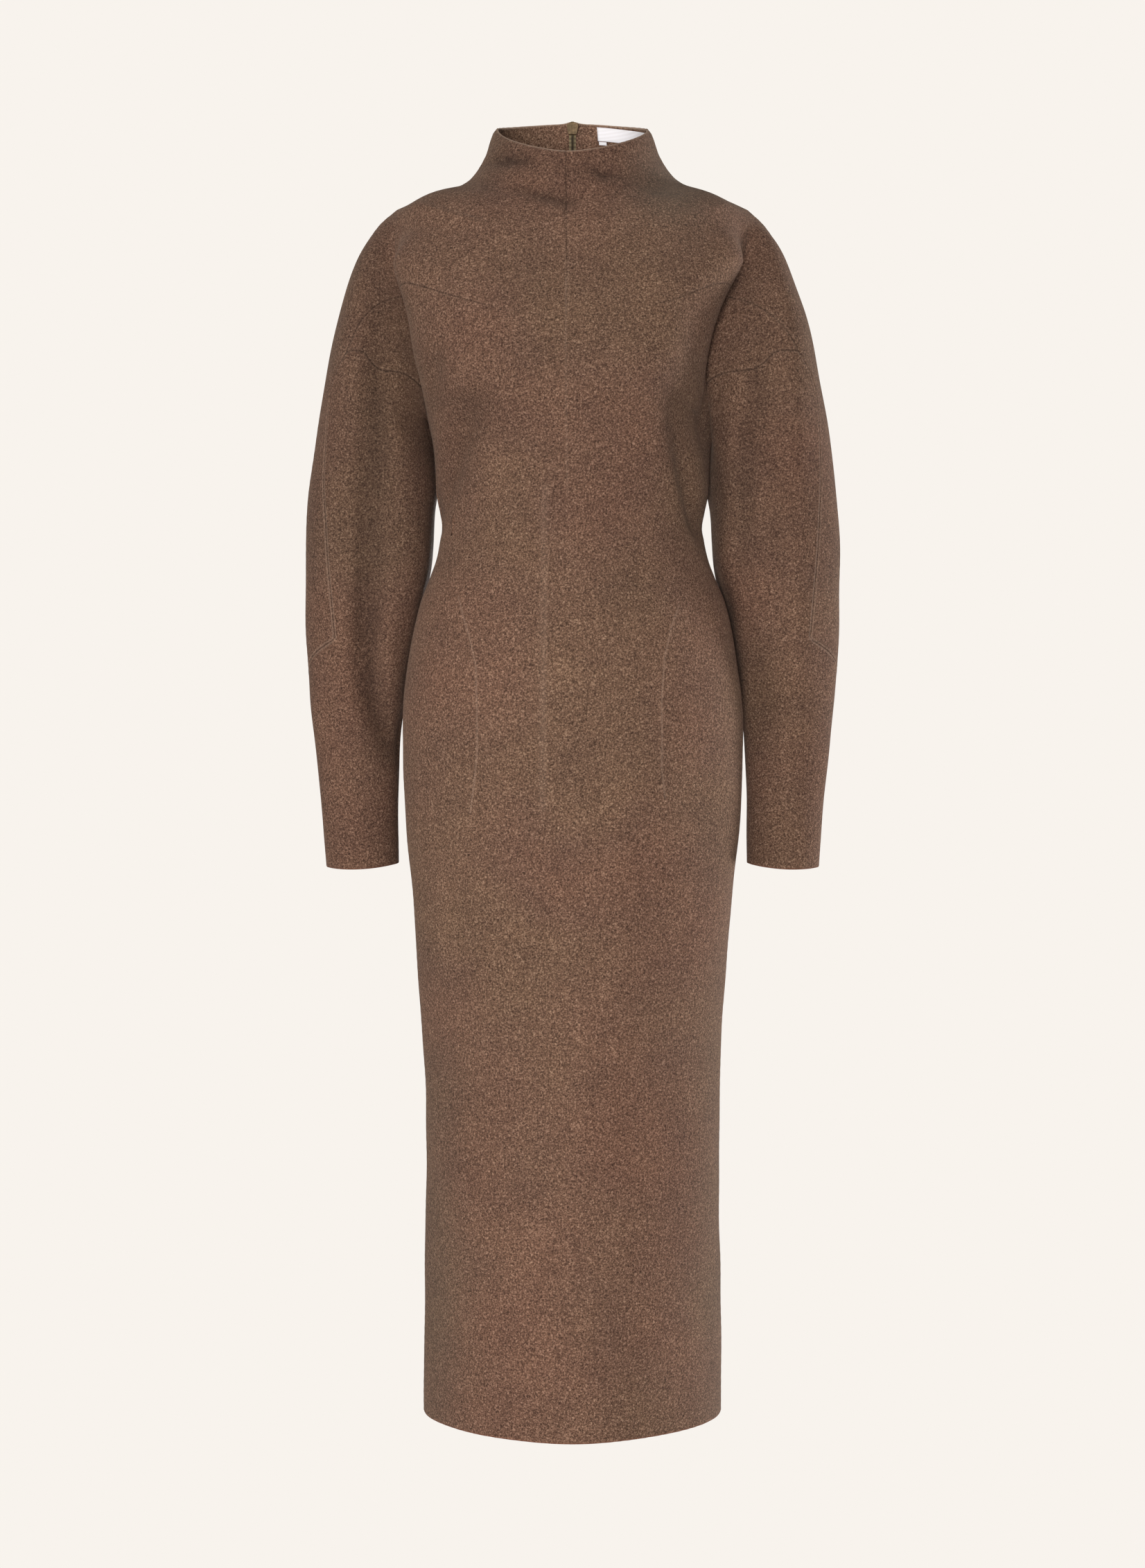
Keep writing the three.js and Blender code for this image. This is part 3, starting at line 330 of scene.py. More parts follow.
def column_share(column, at):
    """The share round the sleeve of a column, counted from the overarm line to the inside."""
    seam = seam_share(at)
    into = np.clip((column - OVER_COLUMNS) / UNDER_COLUMNS, 0, 1)
    drift = panel_seam(np.minimum(at, TURN_IN)) * (1 - ease((at - 6.5) / 6))
    under = mix(mix(seam, drift, ease(2 * into)), 0.5, into)
    return np.where(column <= OVER_COLUMNS, seam * column / OVER_COLUMNS, under)


def sleeve_place(column, row):
    """How far along the sleeve a column's row lies."""
    into = np.maximum((column - OVER_COLUMNS) / GUSSET_COLUMNS, 0)
    top = CORNER * np.maximum(1 - into ** 0.9, 0)
    return np.where(row <= GUSSET_ROWS, top * row / GUSSET_ROWS,
                    mix(top, CUFF, (row - GUSSET_ROWS) / SLEEVE_ROWS))


def chest_lift(a):
    return ease(a / math.radians(78))


def collar_lift(a):
    return (1 - np.cos(a)) ** 0.85


def body_row(face, side, columns, centre, end, lift, fold=None, turn=90.0, full=2.0):
    """A row of the body from the centre line round to its end, at even columns, x outwards."""
    depth = -front_depth(centre) if face == "front" else back_depth(centre)
    ridge = end if fold is None else fold
    power = 2 / full
    last = math.radians(turn)
    a = np.linspace(0, last, 241)
    out = (np.sin(a) / math.sin(last)) ** power
    around = (1 - np.cos(a).clip(0) ** power) / (1 - math.cos(last) ** power)
    rise = lift(a / last * math.pi / 2)
    # The front seam leans to the wearer's right.
    start = side * float(front_centre(centre)) if face == "front" else 0.0
    fine = np.stack([mix(start, ridge[0], out), mix(depth, ridge[1], around),
                     mix(centre, end[2], rise)], -1)
    if fold is not None:
        b = np.linspace(0, math.pi / 2, 65)[1:]
        back = np.stack([mix(ridge[0], end[0], 1 - np.cos(b)), mix(ridge[1], end[1], np.sin(b)),
                         np.full_like(b, end[2])], -1)
        fine = np.vstack([fine, back])
    along = np.concatenate([[0], np.cumsum(np.linalg.norm(np.diff(fine, axis=0), axis=1))])
    want = along[-1] * np.asarray(columns) / BODY_COLUMNS
    return np.stack([np.interp(want, along, fine[:, k]) for k in range(3)], -1)


def quarter_row(face, side, columns, place=None, height=None):
    """One row of a quarter: a place from the collar's edge at 0, or a height below the arm."""
    if height is not None:
        near = 1 - float(ease((ARMPIT - height) / 70))
        centre = height + near * (float(armhole_centre[face](ARMPIT)) - ARMPIT)
        back = 4 * (1 - float(ease((ARMPIT - height) / 90)))
        row = body_row(face, side, columns, centre, (float(side_half(height)), back, height),
                       chest_lift, full=float(side_full(height)))
    elif place < SHOULDER_ROWS:
        at = 1 - place / SHOULDER_ROWS
        blend = float(ease(at / 0.6))
        turn = 90 - 6 * float(ease(place - SHOULDER_ROWS + 1))
        centre, end = float(shoulder_centre[face](at)), [float(axis(at)) for axis in shoulder_end]
        high = at ** 5
        end[2] += RIM_RISE[0] * high
        centre += RIM_RISE[0] * high * (face == "back")
        row = body_row(face, side, columns, centre, end,
                       lambda a: mix(chest_lift(a), collar_lift(a), blend), turn=turn)
        if face == "back":
            row[:, 2] += RIM_RISE[1] * high * np.exp(-(row[:, 0] / RIM_RISE[2]) ** 2)
    else:
        column = place - SHOULDER_ROWS
        share = float(column_share(column, 0.0))
        end = sleeve_point(share if face == "front" else 1 - share, 0.0)
        z = float(end[2])
        kind = dict(centre=float(armhole_centre[face](z)), end=end, lift=chest_lift,
                    turn=min(float(armhole_turn(z)), 90),
                    full=mix(2, float(side_full(ARMPIT)), float(ease(column / ARM_ROWS))))
        fold = tuple(float(axis(z)) for axis in fold_line[face])
        share = float(ease((FOLD_BEGINS[0] - z) / (FOLD_BEGINS[0] - FOLD_BEGINS[1])))
        row = body_row(face, side, columns, **kind) if share < 1 else 0
        if share > 0:
            row = mix(row, body_row(face, side, columns, fold=fold, **kind), share)
            row[-1] = end
    row[:, 0] *= side
    return row


def stops(first, last, step, rings):
    """Even steps between two places, with closer ones at each (place, spacing) of rings."""
    found = set(np.round(np.linspace(first, last, round((last - first) / step) + 1), 9))
    for place, offsets in rings:
        reach = max(offsets) * 1.3
        found = {v for v in found if abs(v - place) > reach or abs(v - place) < 1e-9}
        found.add(place)
        for offset in offsets:
            found |= {round(place + s * offset, 9) for s in (-1, 1)}
    return np.array(sorted(v for v in found if first - 1e-9 <= v <= last + 1e-9))


# How well each seam shows, from 0 to 1, and the heights where the centre seam closes.
SEAM_TONE = {"centre front": 0.65, "centre back": 0.6, "shoulder": 0.5, "side": 0.4,
             "chest": 0.8, "underarm": 1.0}
SEAM_CLOSES = (-60.0, -150.0)
CHEST_SEAM_FADES = (115.0, 75.0)
SEAM_RINGS = np.array([0.5, 1.1, 2.0, 3.3])  # mm from a seam
EDGE_RINGS = np.array([0.12, 0.35, 0.9, 2.2])  # mm from a raw edge


def smooth_weights(places, count):
    """Cubic weights that read a grid of `count` even samples at the given places."""
    weights = np.zeros((len(places), count))
    base = np.clip(np.floor(places).astype(int), 0, count - 2)
    u = places - base
    taps = (-u + 2 * u * u - u ** 3, 2 - 5 * u * u + 3 * u ** 3,
            u + 4 * u * u - 3 * u ** 3, -u * u + u ** 3)
    for offset, tap in zip((-1, 0, 1, 2), taps):
        np.add.at(weights, (np.arange(len(places)), np.clip(base + offset, 0, count - 1)),
                  tap / 2)
    return weights


class Sheet:
    """A surface of shared points: a grid for each quarter of the body and half sleeve."""

    def __init__(self, body_places, body_heights, body_columns, sleeve_columns, sleeve_rows):
        self.places, self.heights = body_places, body_heights
        self.columns = body_columns
        self.sleeve_columns, self.sleeve_rows = sleeve_columns, sleeve_rows
        self.grids = {}
        for face, side in QUARTERS:
            rows = [quarter_row(face, side, body_columns, place=p) for p in body_places]
            rows += [quarter_row(face, side, dart_columns(face, side, body_columns, z), height=z)
                     for z in body_heights]
            self.grids["body", face, side] = np.array(rows)
            column, row = np.meshgrid(sleeve_columns, sleeve_rows)
            at = sleeve_place(column, row)
            share = column_share(column, at)
            points = sleeve_point(share if face == "front" else 1 - share, at, side)
            points[..., 0] *= side
            self.grids["sleeve", face, side] = points
        every = np.vstack([grid.reshape(-1, 3) for grid in self.grids.values()])
        _, first, inverse = np.unique(np.round(every, 2), axis=0, return_index=True,
                                      return_inverse=True)
        self.points = lean_left_fold(every[first])
        self.inverse = inverse.reshape(-1)
        self.ids, start = {}, 0
        for key, grid in self.grids.items():
            size = grid.shape[0] * grid.shape[1]
            self.ids[key] = self.inverse[start:start + size].reshape(grid.shape[:2])
            start += size
        self.find_faces()

    def find_faces(self):
        quads, panels, parts = [], [], []
        for face, side in QUARTERS:
            name = "left" if side > 0 else "right"
            upper = PANELS.index(f"upper_{face}_{name}")
            body = PANELS.index("front_body" if face == "front" else f"back_body_{name}")
            under = PANELS.index(f"under_sleeve_{name}")
            turned = side * (1 if face == "front" else -1) < 0
            row = np.concatenate([self.places, np.full(len(self.heights), 99.0)])
            panel = np.where(row[1:, None] <= CHEST_ROW + 1e-6, upper, body)
            self.add(quads, panels, parts, self.ids["body", face, side],
                     np.broadcast_to(panel, (len(row) - 1, len(self.columns) - 1)),
                     PARTS.index(f"body {face}"), not turned)
            over = self.sleeve_columns[1:][None, :] <= OVER_COLUMNS + 1e-6
            high = self.sleeve_rows[1:][:, None] <= GUSSET_ROWS + 1e-6
            self.add(quads, panels, parts, self.ids["sleeve", face, side],
                     np.where(over, upper, np.where(high, body, under)),
                     PARTS.index(f"{name} sleeve {face}"), turned)
        self.quads = np.vstack(quads)
        self.panels = np.concatenate(panels)
        self.part_of = np.zeros((len(self.points), len(PARTS)), bool)
        for quad, part in zip(quads, parts):
            self.part_of[quad.ravel(), part] = True

    @staticmethod
    def add(quads, panels, parts, ids, panel, part, turned):
        quad = np.stack([ids[:-1, :-1], ids[:-1, 1:], ids[1:, 1:], ids[1:, :-1]], -1)
        quad = quad.reshape(-1, 4)
        if turned:
            quad = quad[:, ::-1]
        # A quad that has closed up to a line is dropped; one that is a triangle stays.
        different = sum((quad[:, i] != quad[:, (i + 1) % 4]).astype(int) for i in range(4))
        twisted = (quad[:, 0] == quad[:, 2]) | (quad[:, 1] == quad[:, 3])
        keep = (different >= 3) & ~twisted
        quads.append(quad[keep])
        panels.append(panel.reshape(-1)[keep])
        parts.append(part)

    def normals(self):
        total = np.zeros_like(self.points)
        a, b, c, d = (self.points[self.quads[:, i]] for i in range(4))
        across = np.cross(c - a, d - b)
        for i in range(4):
            np.add.at(total, self.quads[:, i], across)
        return total / np.linalg.norm(total, axis=1, keepdims=True).clip(1e-9)


def dart_columns(face, side, columns, height):
    """Moves the body's columns sideways so that one of them runs along the dart."""
    rows = DARTS[face, side]
    line = np.array(sorted((z, abs(x)) for x, z in rows))
    x = np.interp(height, line[:, 0], line[:, 1])
    fine = np.linspace(0, BODY_COLUMNS, 91)
    reached = np.abs(quarter_row(face, side, fine, height=height)[:, 0])
    top = int(np.argmax(reached))
    want = np.interp(x, reached[:top + 1], fine[:top + 1])
    shift = want - DART_COLUMN
    window = np.cos(np.clip((columns - DART_COLUMN) / 3.2, -1, 1) * np.pi / 2) ** 2
    return columns + shift * window * ease((ARMPIT - height) / 80)


def fairing():
    """How far the cloth over each shoulder moves when it is smoothed, on an even grid."""
    n = FAIR["finer"]
    places = np.linspace(0, ARMHOLE_END, ARMHOLE_END * n + 1)
    columns = np.linspace(0, BODY_COLUMNS, BODY_COLUMNS * n + 1)
    arm = np.linspace(0, ARM_ROWS, ARM_ROWS * n + 1)
    rows = np.linspace(0, 8, 8 * 2 * n + 1)
    even = Sheet(places, [], columns, arm, rows)
    edges = np.vstack([even.quads[:, [i, (i + 1) % 4]] for i in range(4)])
    edges = np.unique(np.sort(edges[edges[:, 0] != edges[:, 1]], axis=1), axis=0)
    a, b = edges.T
    degree = np.bincount(edges.ravel(), minlength=len(even.points))
    rim = sleeve_point(np.linspace(-FAIR["share"], FAIR["share"], FAIR["samples"] + 1), 0.0)
    here = even.points * (1, 1, 1)
    here[:, 0] = np.abs(here[:, 0])
    gap = np.linalg.norm(here[:, None] - rim[None], axis=2).min(axis=1)
    weight = ease(1 - gap / FAIR["reach"])
    place, column = np.meshgrid(places, columns, indexing="ij")
    sleeve_row, sleeve_column = np.meshgrid(rows, arm, indexing="ij")
    chest = np.zeros(len(even.points))
    for face, side in QUARTERS:
        body, sleeve = even.ids["body", face, side], even.ids["sleeve", face, side]
        across = mix(ease((9.6 - column) / 1.5), ease((6.5 - column) / 3), ease((place - 9) / 1.5))
        chest[body] = ease((place - 1) / 3) * ease((19 - place) / 3) * across
        chest[sleeve] = np.maximum(chest[sleeve], ease((3 - sleeve_row) / 3)
                                   * ease((6 - sleeve_column) / 2) * ease(sleeve_column))
    for face, side in QUARTERS:
        pinned = np.concatenate([even.ids["body", face, side][:SHOULDER_ROWS * n + 1, -1],
                                 even.ids["sleeve", face, side][:, 0]])
        weight[pinned] = chest[pinned] = 0
    moved = even.points.copy()
    # A plain pull at the shoulders, then a pull and push that takes creases off the chest.
    for by, pull, push in ((weight, FAIR["pull"], 0), (chest, FAIR["pull"], FAIR["push"])):
        for turn in range(FAIR["passes"] * (2 if push else 1)):
            mean = np.stack([np.bincount(a, moved[b, k], len(moved))
                             + np.bincount(b, moved[a, k], len(moved)) for k in range(3)], -1)
            mean /= degree[:, None].clip(1)
            share = -push if push and turn % 2 else pull
            moved += (mean - moved) * (share * by)[:, None]
    shift = moved - even.points
    return {key: shift[ids] for key, ids in even.ids.items()}


def trough_depth(line, x, z):
    best = np.zeros_like(x)
    for (ax, az, ad, aw), (bx, bz, bd, bw) in zip(line, line[1:]):
        dx, dz = bx - ax, bz - az
        on = np.clip(((x - ax) * dx + (z - az) * dz) / (dx * dx + dz * dz), 0, 1)
        off = np.hypot(x - ax - on * dx, z - az - on * dz) / mix(aw, bw, on)
        best = np.maximum(best, mix(ad, bd, on) * np.exp(-off * off))
    return best


def fold_shade(sheet, x, z, deep):
    """How much painted shade darkens the colour: in a hollow, along the shade lines, in the crease at
    the arm, on a sleeve, the collar and the chest.
    """
    shade = SHADE_PAINT["hollow"] * deep
    off = np.abs(x) - fold_line["front"][0](z) + np.where(x > 0, left_fold(z), 0)
    high = ease((-78 - z) / 30) * ease((z + 262) / 30)
    for part, *line in PAINTED_SHADE_LINES:
        on = sheet.part_of[:, PARTS.index(part)]
        shade[on] += trough_depth(line, x[on], z[on])
    for side, name in ((1, "left"), (-1, "right")):
        strength, wide = SHADE_PAINT["crease"][side]
        front = sheet.part_of[:, PARTS.index(f"{name} sleeve front")]
        back = sheet.part_of[:, PARTS.index(f"{name} sleeve back")]
        near = strength * high * np.exp(-(np.maximum(off, 0) / wide) ** 2)
        shade += np.where(front, near, 0)
        arm = ease((np.abs(x) - 150) / 50)
        shade += SHADE_PAINT["sleeve"] * np.where(front | back, np.where(z < -240, 1, arm), 0)
    return shade + SHADE_PAINT["collar"] * ease((z + 50) / 40) + SHADE_PAINT["chest"] * ease((z + 500) / 200)


def painted_sheen_and_light(sheet, x, z):
    """How much painted grey sheen, and how much painted light, the colour gets."""
    grey = sum(most * np.exp(-((x - cx) / wide) ** 2 - ((z - cz) / high) ** 2)
               for cx, cz, wide, high, most in PAINTED_SHEEN_PATCHES)
    # Painted light on the sleeve beside the crease at the right arm.
    off = np.abs(x) - fold_line["front"][0](z)
    high = ease((-78 - z) / 30) * ease((z + 262) / 30)
    crease_light = 0.06 * high * np.exp(-(np.maximum(off, 0) / 14) ** 2)
    sleeve = sheet.part_of[:, PARTS.index("right sleeve front")]
    return grey, np.where(sleeve, crease_light, 0)


def undulation(points, seed, longest, shortest, count):
    """A soft unevenness of unit height, made of long waves in every direction."""
    rng = np.random.default_rng(seed)
    total = np.zeros(len(points))
    for _ in range(count):
        way = rng.normal(size=3)
        way /= np.linalg.norm(way)
        length = rng.uniform(shortest, longest)
        total += np.sin(points @ way * (2 * np.pi / length) + rng.uniform(0, 2 * np.pi))
    return total / math.sqrt(count / 2)


def polyline(points, step):
    """Points every `step` along a line, with their distance along it."""
    gap = np.linalg.norm(np.diff(points, axis=0), axis=1)
    along = np.concatenate([[0], np.cumsum(gap)])
    run = np.linspace(0, along[-1], max(int(along[-1] / step), 1) + 1)
    return np.stack([np.interp(run, along, points[:, k]) for k in range(3)], -1), run


def nearest(points, lines, step, reach):
    """Each point's distance to the nearest of some lines, the run along it, and which it is."""
    samples, runs, names = [], [], []
    for i, line in enumerate(lines):
        places, run = polyline(line, step)
        samples.append(places)
        runs.append(run)
        names.append(np.full(len(run), i))
    samples, runs, names = np.vstack(samples), np.concatenate(runs), np.concatenate(names)
    tree = kdtree.KDTree(len(samples))
    for i, p in enumerate(samples):
        tree.insert(p, i)
    tree.balance()
    distance = np.full(len(points), reach)
    along = np.zeros(len(points))
    which = np.zeros(len(points), int)
    for i, p in enumerate(points.tolist()):
        _, k, gap = tree.find(p)
        which[i] = names[k]
        if gap < reach:
            distance[i] = gap
            along[i] = runs[k]
    return distance, along, which


@lru_cache(maxsize=1)
def dress():
    """The finished surface with its seams, folds and distances."""
    finer = 3.0
    rim = EDGE_RINGS / 12
    places = np.concatenate([
        stops(0, SHOULDER_ROWS, 1 / finer, [(0, rim)])[:-1],
        arm_columns() + SHOULDER_ROWS])
    heights = ARMPIT - stops(0, ARMPIT - HEM, 4.9, [(ARMPIT - HEM, EDGE_RINGS)])[1:]
    columns = stops(0, BODY_COLUMNS, 1 / 5.6, [(0, SEAM_RINGS / 26), (BODY_COLUMNS, SEAM_RINGS / 26),
                                              (DART_COLUMN, SEAM_RINGS / 26)])
    sleeve_rows = stops(0, GUSSET_ROWS + SLEEVE_ROWS, 1 / 7,
                        [(GUSSET_ROWS, SEAM_RINGS / 34), (TIP_END, [0.02]),
                         (GUSSET_ROWS + SLEEVE_ROWS, EDGE_RINGS / 34)])
    sheet = Sheet(places, list(heights), columns, arm_columns(), sleeve_rows)

    shift = fairing()
    n = FAIR["finer"]
    total = np.zeros((len(sheet.points), 3))
    count = np.zeros(len(sheet.points))
    for key, moved in shift.items():
        ids = sheet.ids[key]
        if key[0] == "body":
            rows, cols = sheet.places * n, sheet.columns * n
            ids = ids[:len(rows)]
        else:
            inside = sheet.sleeve_rows <= 8
            rows, cols = sheet.sleeve_rows[inside] * 2 * n, sheet.sleeve_columns * n
            ids = ids[:len(rows)]
        across = smooth_weights(cols, moved.shape[1])
        down = smooth_weights(rows, moved.shape[0])
        value = np.einsum("ri,ijk,cj->rck", down, moved, across)
        np.add.at(total, ids.ravel(), value.reshape(-1, 3))
        np.add.at(count, ids.ravel(), 1)
    sheet.points = sheet.points + total / count[:, None].clip(1)

    normal = sheet.normals()
    x, z = sheet.points[:, 0], sheet.points[:, 2]
    deep = np.zeros(len(x))
    for part, *line in TROUGHS:
        on = sheet.part_of[:, PARTS.index(part)]
        deep[on] += trough_depth(line, x[on], z[on])
    # Painted shade, painted grey sheen and painted light, carried to the colour.
    sheet.shade = fold_shade(sheet, x, z, deep)
    sheet.grey, sheet.pale = painted_sheen_and_light(sheet, x, z)
    deep -= 0.5 * undulation(sheet.points, 5, 150, 70, 24)
    moved = sheet.points - normal * deep[:, None]
    front = sheet.part_of[:, 0]
    for part, *line in RIDGES:
        on = sheet.part_of[:, PARTS.index(part)]
        out = trough_depth(line, x[on], z[on])
        moved[on, 1] += out if "back" in part else -out
    bust = np.exp(-((np.abs(x) - BUST["x"]) / BUST["across"]) ** 2
                  - ((z - BUST["z"]) / BUST["along"]) ** 2)
    moved[:, 1] -= np.where(front, BUST["high"] * bust, 0)
    sheet.points = moved
    sheet.seams, sheet.raw, sheet.darts = sheet_lines(sheet)
    sheet.smooth_normal = sheet.normals()

    lines = [sheet.points[ids] for ids in sheet.seams.values()]
    sheet.seam_gap, sheet.seam_run, which = nearest(sheet.points, lines, 0.5, 20.0)
    tone = np.array([next(t for start, t in SEAM_TONE.items() if name.startswith(start))
                     for name in sheet.seams])[which]
    names = np.array(list(sheet.seams))[which]
    x, z = np.abs(sheet.points[:, 0]), sheet.points[:, 2]
    # The centre seam shows over the collar, and the chest seam out on the sleeves.
    low = ease((SEAM_CLOSES[0] - z) / (SEAM_CLOSES[0] - SEAM_CLOSES[1]))
    inner = ease((CHEST_SEAM_FADES[0] - x) / (CHEST_SEAM_FADES[0] - CHEST_SEAM_FADES[1]))
    centre, chest = names == "centre front", np.char.startswith(names, "chest")
    sheet.seam_tone = tone * np.where(centre, 1 - 0.75 * low, np.where(chest, 1 - 0.7 * inner, 1))
    # On the shoulders the painted highlight is left off the lips of the sleeve's seams, and only the
    # groove shows.
    high = np.isin(names, [n for n in sheet.seams if n.startswith(("chest", "underarm"))])
    flat = 0.8 * ease((z + 240) / 35)
    sheet.seam_open = np.where(centre, 1 - low, np.where(high, flat, 0))
    edges = [sheet.points[ids] for ids in sheet.raw.values()]
    sheet.edge_gap, sheet.edge_run, _ = nearest(sheet.points, edges, 1.0, 20.0)
    darts = [sheet.points[ids] for ids in sheet.darts.values()]
    sheet.dart_gap, sheet.dart_run, _ = nearest(sheet.points, darts, 0.5, 12.0)
    flat, creases = sheet.points * (1, 0, 1), [np.array([(x, 0, z) for x, z in line], float)
                                               for line in CREASES]
    away, _, which = nearest(flat, creases, 1.0, 20.0)
    away = away * np.array([2.4, 0.75])[which]
    sheet.crease_gap = np.where(sheet.part_of[:, 0], away, 20.0)
    return sheet


def arm_columns():
    return np.concatenate([
        stops(0, OVER_COLUMNS, 1 / 3, [(0, SEAM_RINGS / 11), (OVER_COLUMNS, SEAM_RINGS / 11)])[:-1],
        stops(OVER_COLUMNS, ARM_ROWS, 1 / 4, [(OVER_COLUMNS, SEAM_RINGS / 17)])])


def sheet_lines(sheet):
    """The lines of shared points along each seam, raw edge and dart."""
    seams, raw, darts = {}, {}, {}
    row = list(sheet.places)
    chest = int(np.argmin(np.abs(sheet.places - CHEST_ROW)))
    shoulder = int(np.argmin(np.abs(sheet.places - SHOULDER_ROWS)))
    armpit = len(row) - 1
    tip = int(np.argmin(np.abs(sheet.sleeve_rows - TIP_END)))
    corner_row = int(np.argmin(np.abs(sheet.sleeve_rows - GUSSET_ROWS)))
    corner = int(np.argmin(np.abs(sheet.sleeve_columns - OVER_COLUMNS)))
    dart = int(np.argmin(np.abs(sheet.columns - DART_COLUMN)))
    seams["centre front"] = sheet.ids["body", "front", 1][:chest + 1, 0]
    seams["centre back"] = sheet.ids["body", "back", 1][:, 0]
    for face, side in QUARTERS:
        body, arm = sheet.ids["body", face, side], sheet.ids["sleeve", face, side]
        name = f"{face} {'left' if side > 0 else 'right'}"
        if face == "front":
            seams[f"shoulder {name}"] = np.concatenate(
                [body[:shoulder + 1, -1], arm[1:tip + 1, 0]])
            seams[f"side {name}"] = body[armpit:, -1]
        seams[f"chest {name}"] = np.concatenate([body[chest], arm[1:tip + 1, corner]])
        seams[f"underarm {name}"] = arm[corner_row, corner:]
        raw[f"rim {name}"] = body[0]
        raw[f"hem {name}"] = body[-1]
        raw[f"cuff {name}"] = arm[-1]
        line = np.array([z for _, z in DARTS[face, side]])
        heights = np.array(sheet.heights)
        inside = np.flatnonzero((heights <= line.max()) & (heights >= line.min()))
        darts[name] = body[len(row) + inside, dart]
    return seams, raw, darts


# Mesh helpers.

def new_piece(name, vertices, faces, smooth=True):
    """A mesh object from millimetres."""
    mesh = bpy.data.meshes.new(name)
    mesh.from_pydata((np.asarray(vertices) * MM).tolist(), [], faces)
    mesh.validate()
    mesh.polygons.foreach_set("use_smooth", [smooth] * len(mesh.polygons))
    mesh.update()
    piece = bpy.data.objects.new(name, mesh)
    bpy.context.scene.collection.objects.link(piece)
    return piece


def give(piece, material, body="root"):
    piece.data.materials.clear()
    piece.data.materials.append(material)
    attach(piece, body)


def attribute(mesh, name, values):
    layer = mesh.attributes.new(name, "FLOAT", "POINT")
    layer.data.foreach_set("value", np.asarray(values, np.float32))


# Materials.

def linear(colour):
    """An sRGB hex colour as the linear RGBA that a socket takes."""
    channels = [int(colour[i:i + 2], 16) / 255 for i in (1, 3, 5)]
    return tuple(c / 12.92 if c <= 0.04045 else ((c + 0.055) / 1.055) ** 2.4
                 for c in channels) + (1.0,)


def node(tree, kind, inputs=None, **settings):
    """Adds a node, sets its settings, and sets or links each input."""
    made = tree.nodes.new(kind)
    for key, value in settings.items():
        setattr(made, key, value)
    for key, value in (inputs or {}).items():
        socket = made.inputs[key]
        if isinstance(value, bpy.types.NodeSocket):
            tree.links.new(value, socket)
        else:
            socket.default_value = value
    return made


def blank_material(name):
    material = bpy.data.materials.new(name)
    material.use_nodes = True
    tree = material.node_tree
    tree.nodes.clear()
    shader = node(tree, "ShaderNodeBsdfPrincipled")
    node(tree, "ShaderNodeOutputMaterial", {"Surface": shader.outputs["BSDF"]})
    return material, tree, shader


def ramp(tree, factor, stops_):
    made = node(tree, "ShaderNodeValToRGB", {"Fac": factor})
    elements = made.color_ramp.elements
    while len(elements) < len(stops_):
        elements.new(0.5)
    for element, (place, colour) in zip(elements, stops_):
        element.position = place
        element.color = linear(colour) if isinstance(colour, str) else (colour,) * 3 + (1,)
    return made.outputs["Color"]


def maths(tree, operation, a, b=0.0, c=0.0):
    return node(tree, "ShaderNodeMath", {0: a, 1: b, 2: c}, operation=operation).outputs[0]


def line_of(tree, gap, half, strength):
    """A soft line where a distance in mm is small, of the given half width and strength."""
    off = maths(tree, "DIVIDE", gap, half)
    return maths(tree, "MULTIPLY", maths(tree, "EXPONENT", maths(
        tree, "MULTIPLY", maths(tree, "MULTIPLY", off, off), -1.0)), strength)


def blend(tree, factor, a, b, **settings):
    """One colour over another. A colour is a socket or an sRGB hex."""
    a, b = (linear(c) if isinstance(c, str) else c for c in (a, b))
    return node(tree, "ShaderNodeMix", {"Factor": factor, "A": a, "B": b}, data_type="RGBA",
                **settings).outputs["Result"]


def measure(tree, name):
    """A mesh attribute."""
    return node(tree, "ShaderNodeAttribute", attribute_name=name).outputs["Fac"]


def fibres(tree, field, level, half):
    """Thin curls: where a noise passes through a level."""
    off = maths(tree, "ABSOLUTE", maths(tree, "SUBTRACT", field, level))
    return node(tree, "ShaderNodeMapRange", {"Value": off, "From Min": half, "From Max": 0.0,
                                             "To Min": 0.0, "To Max": 1.0}).outputs["Result"]


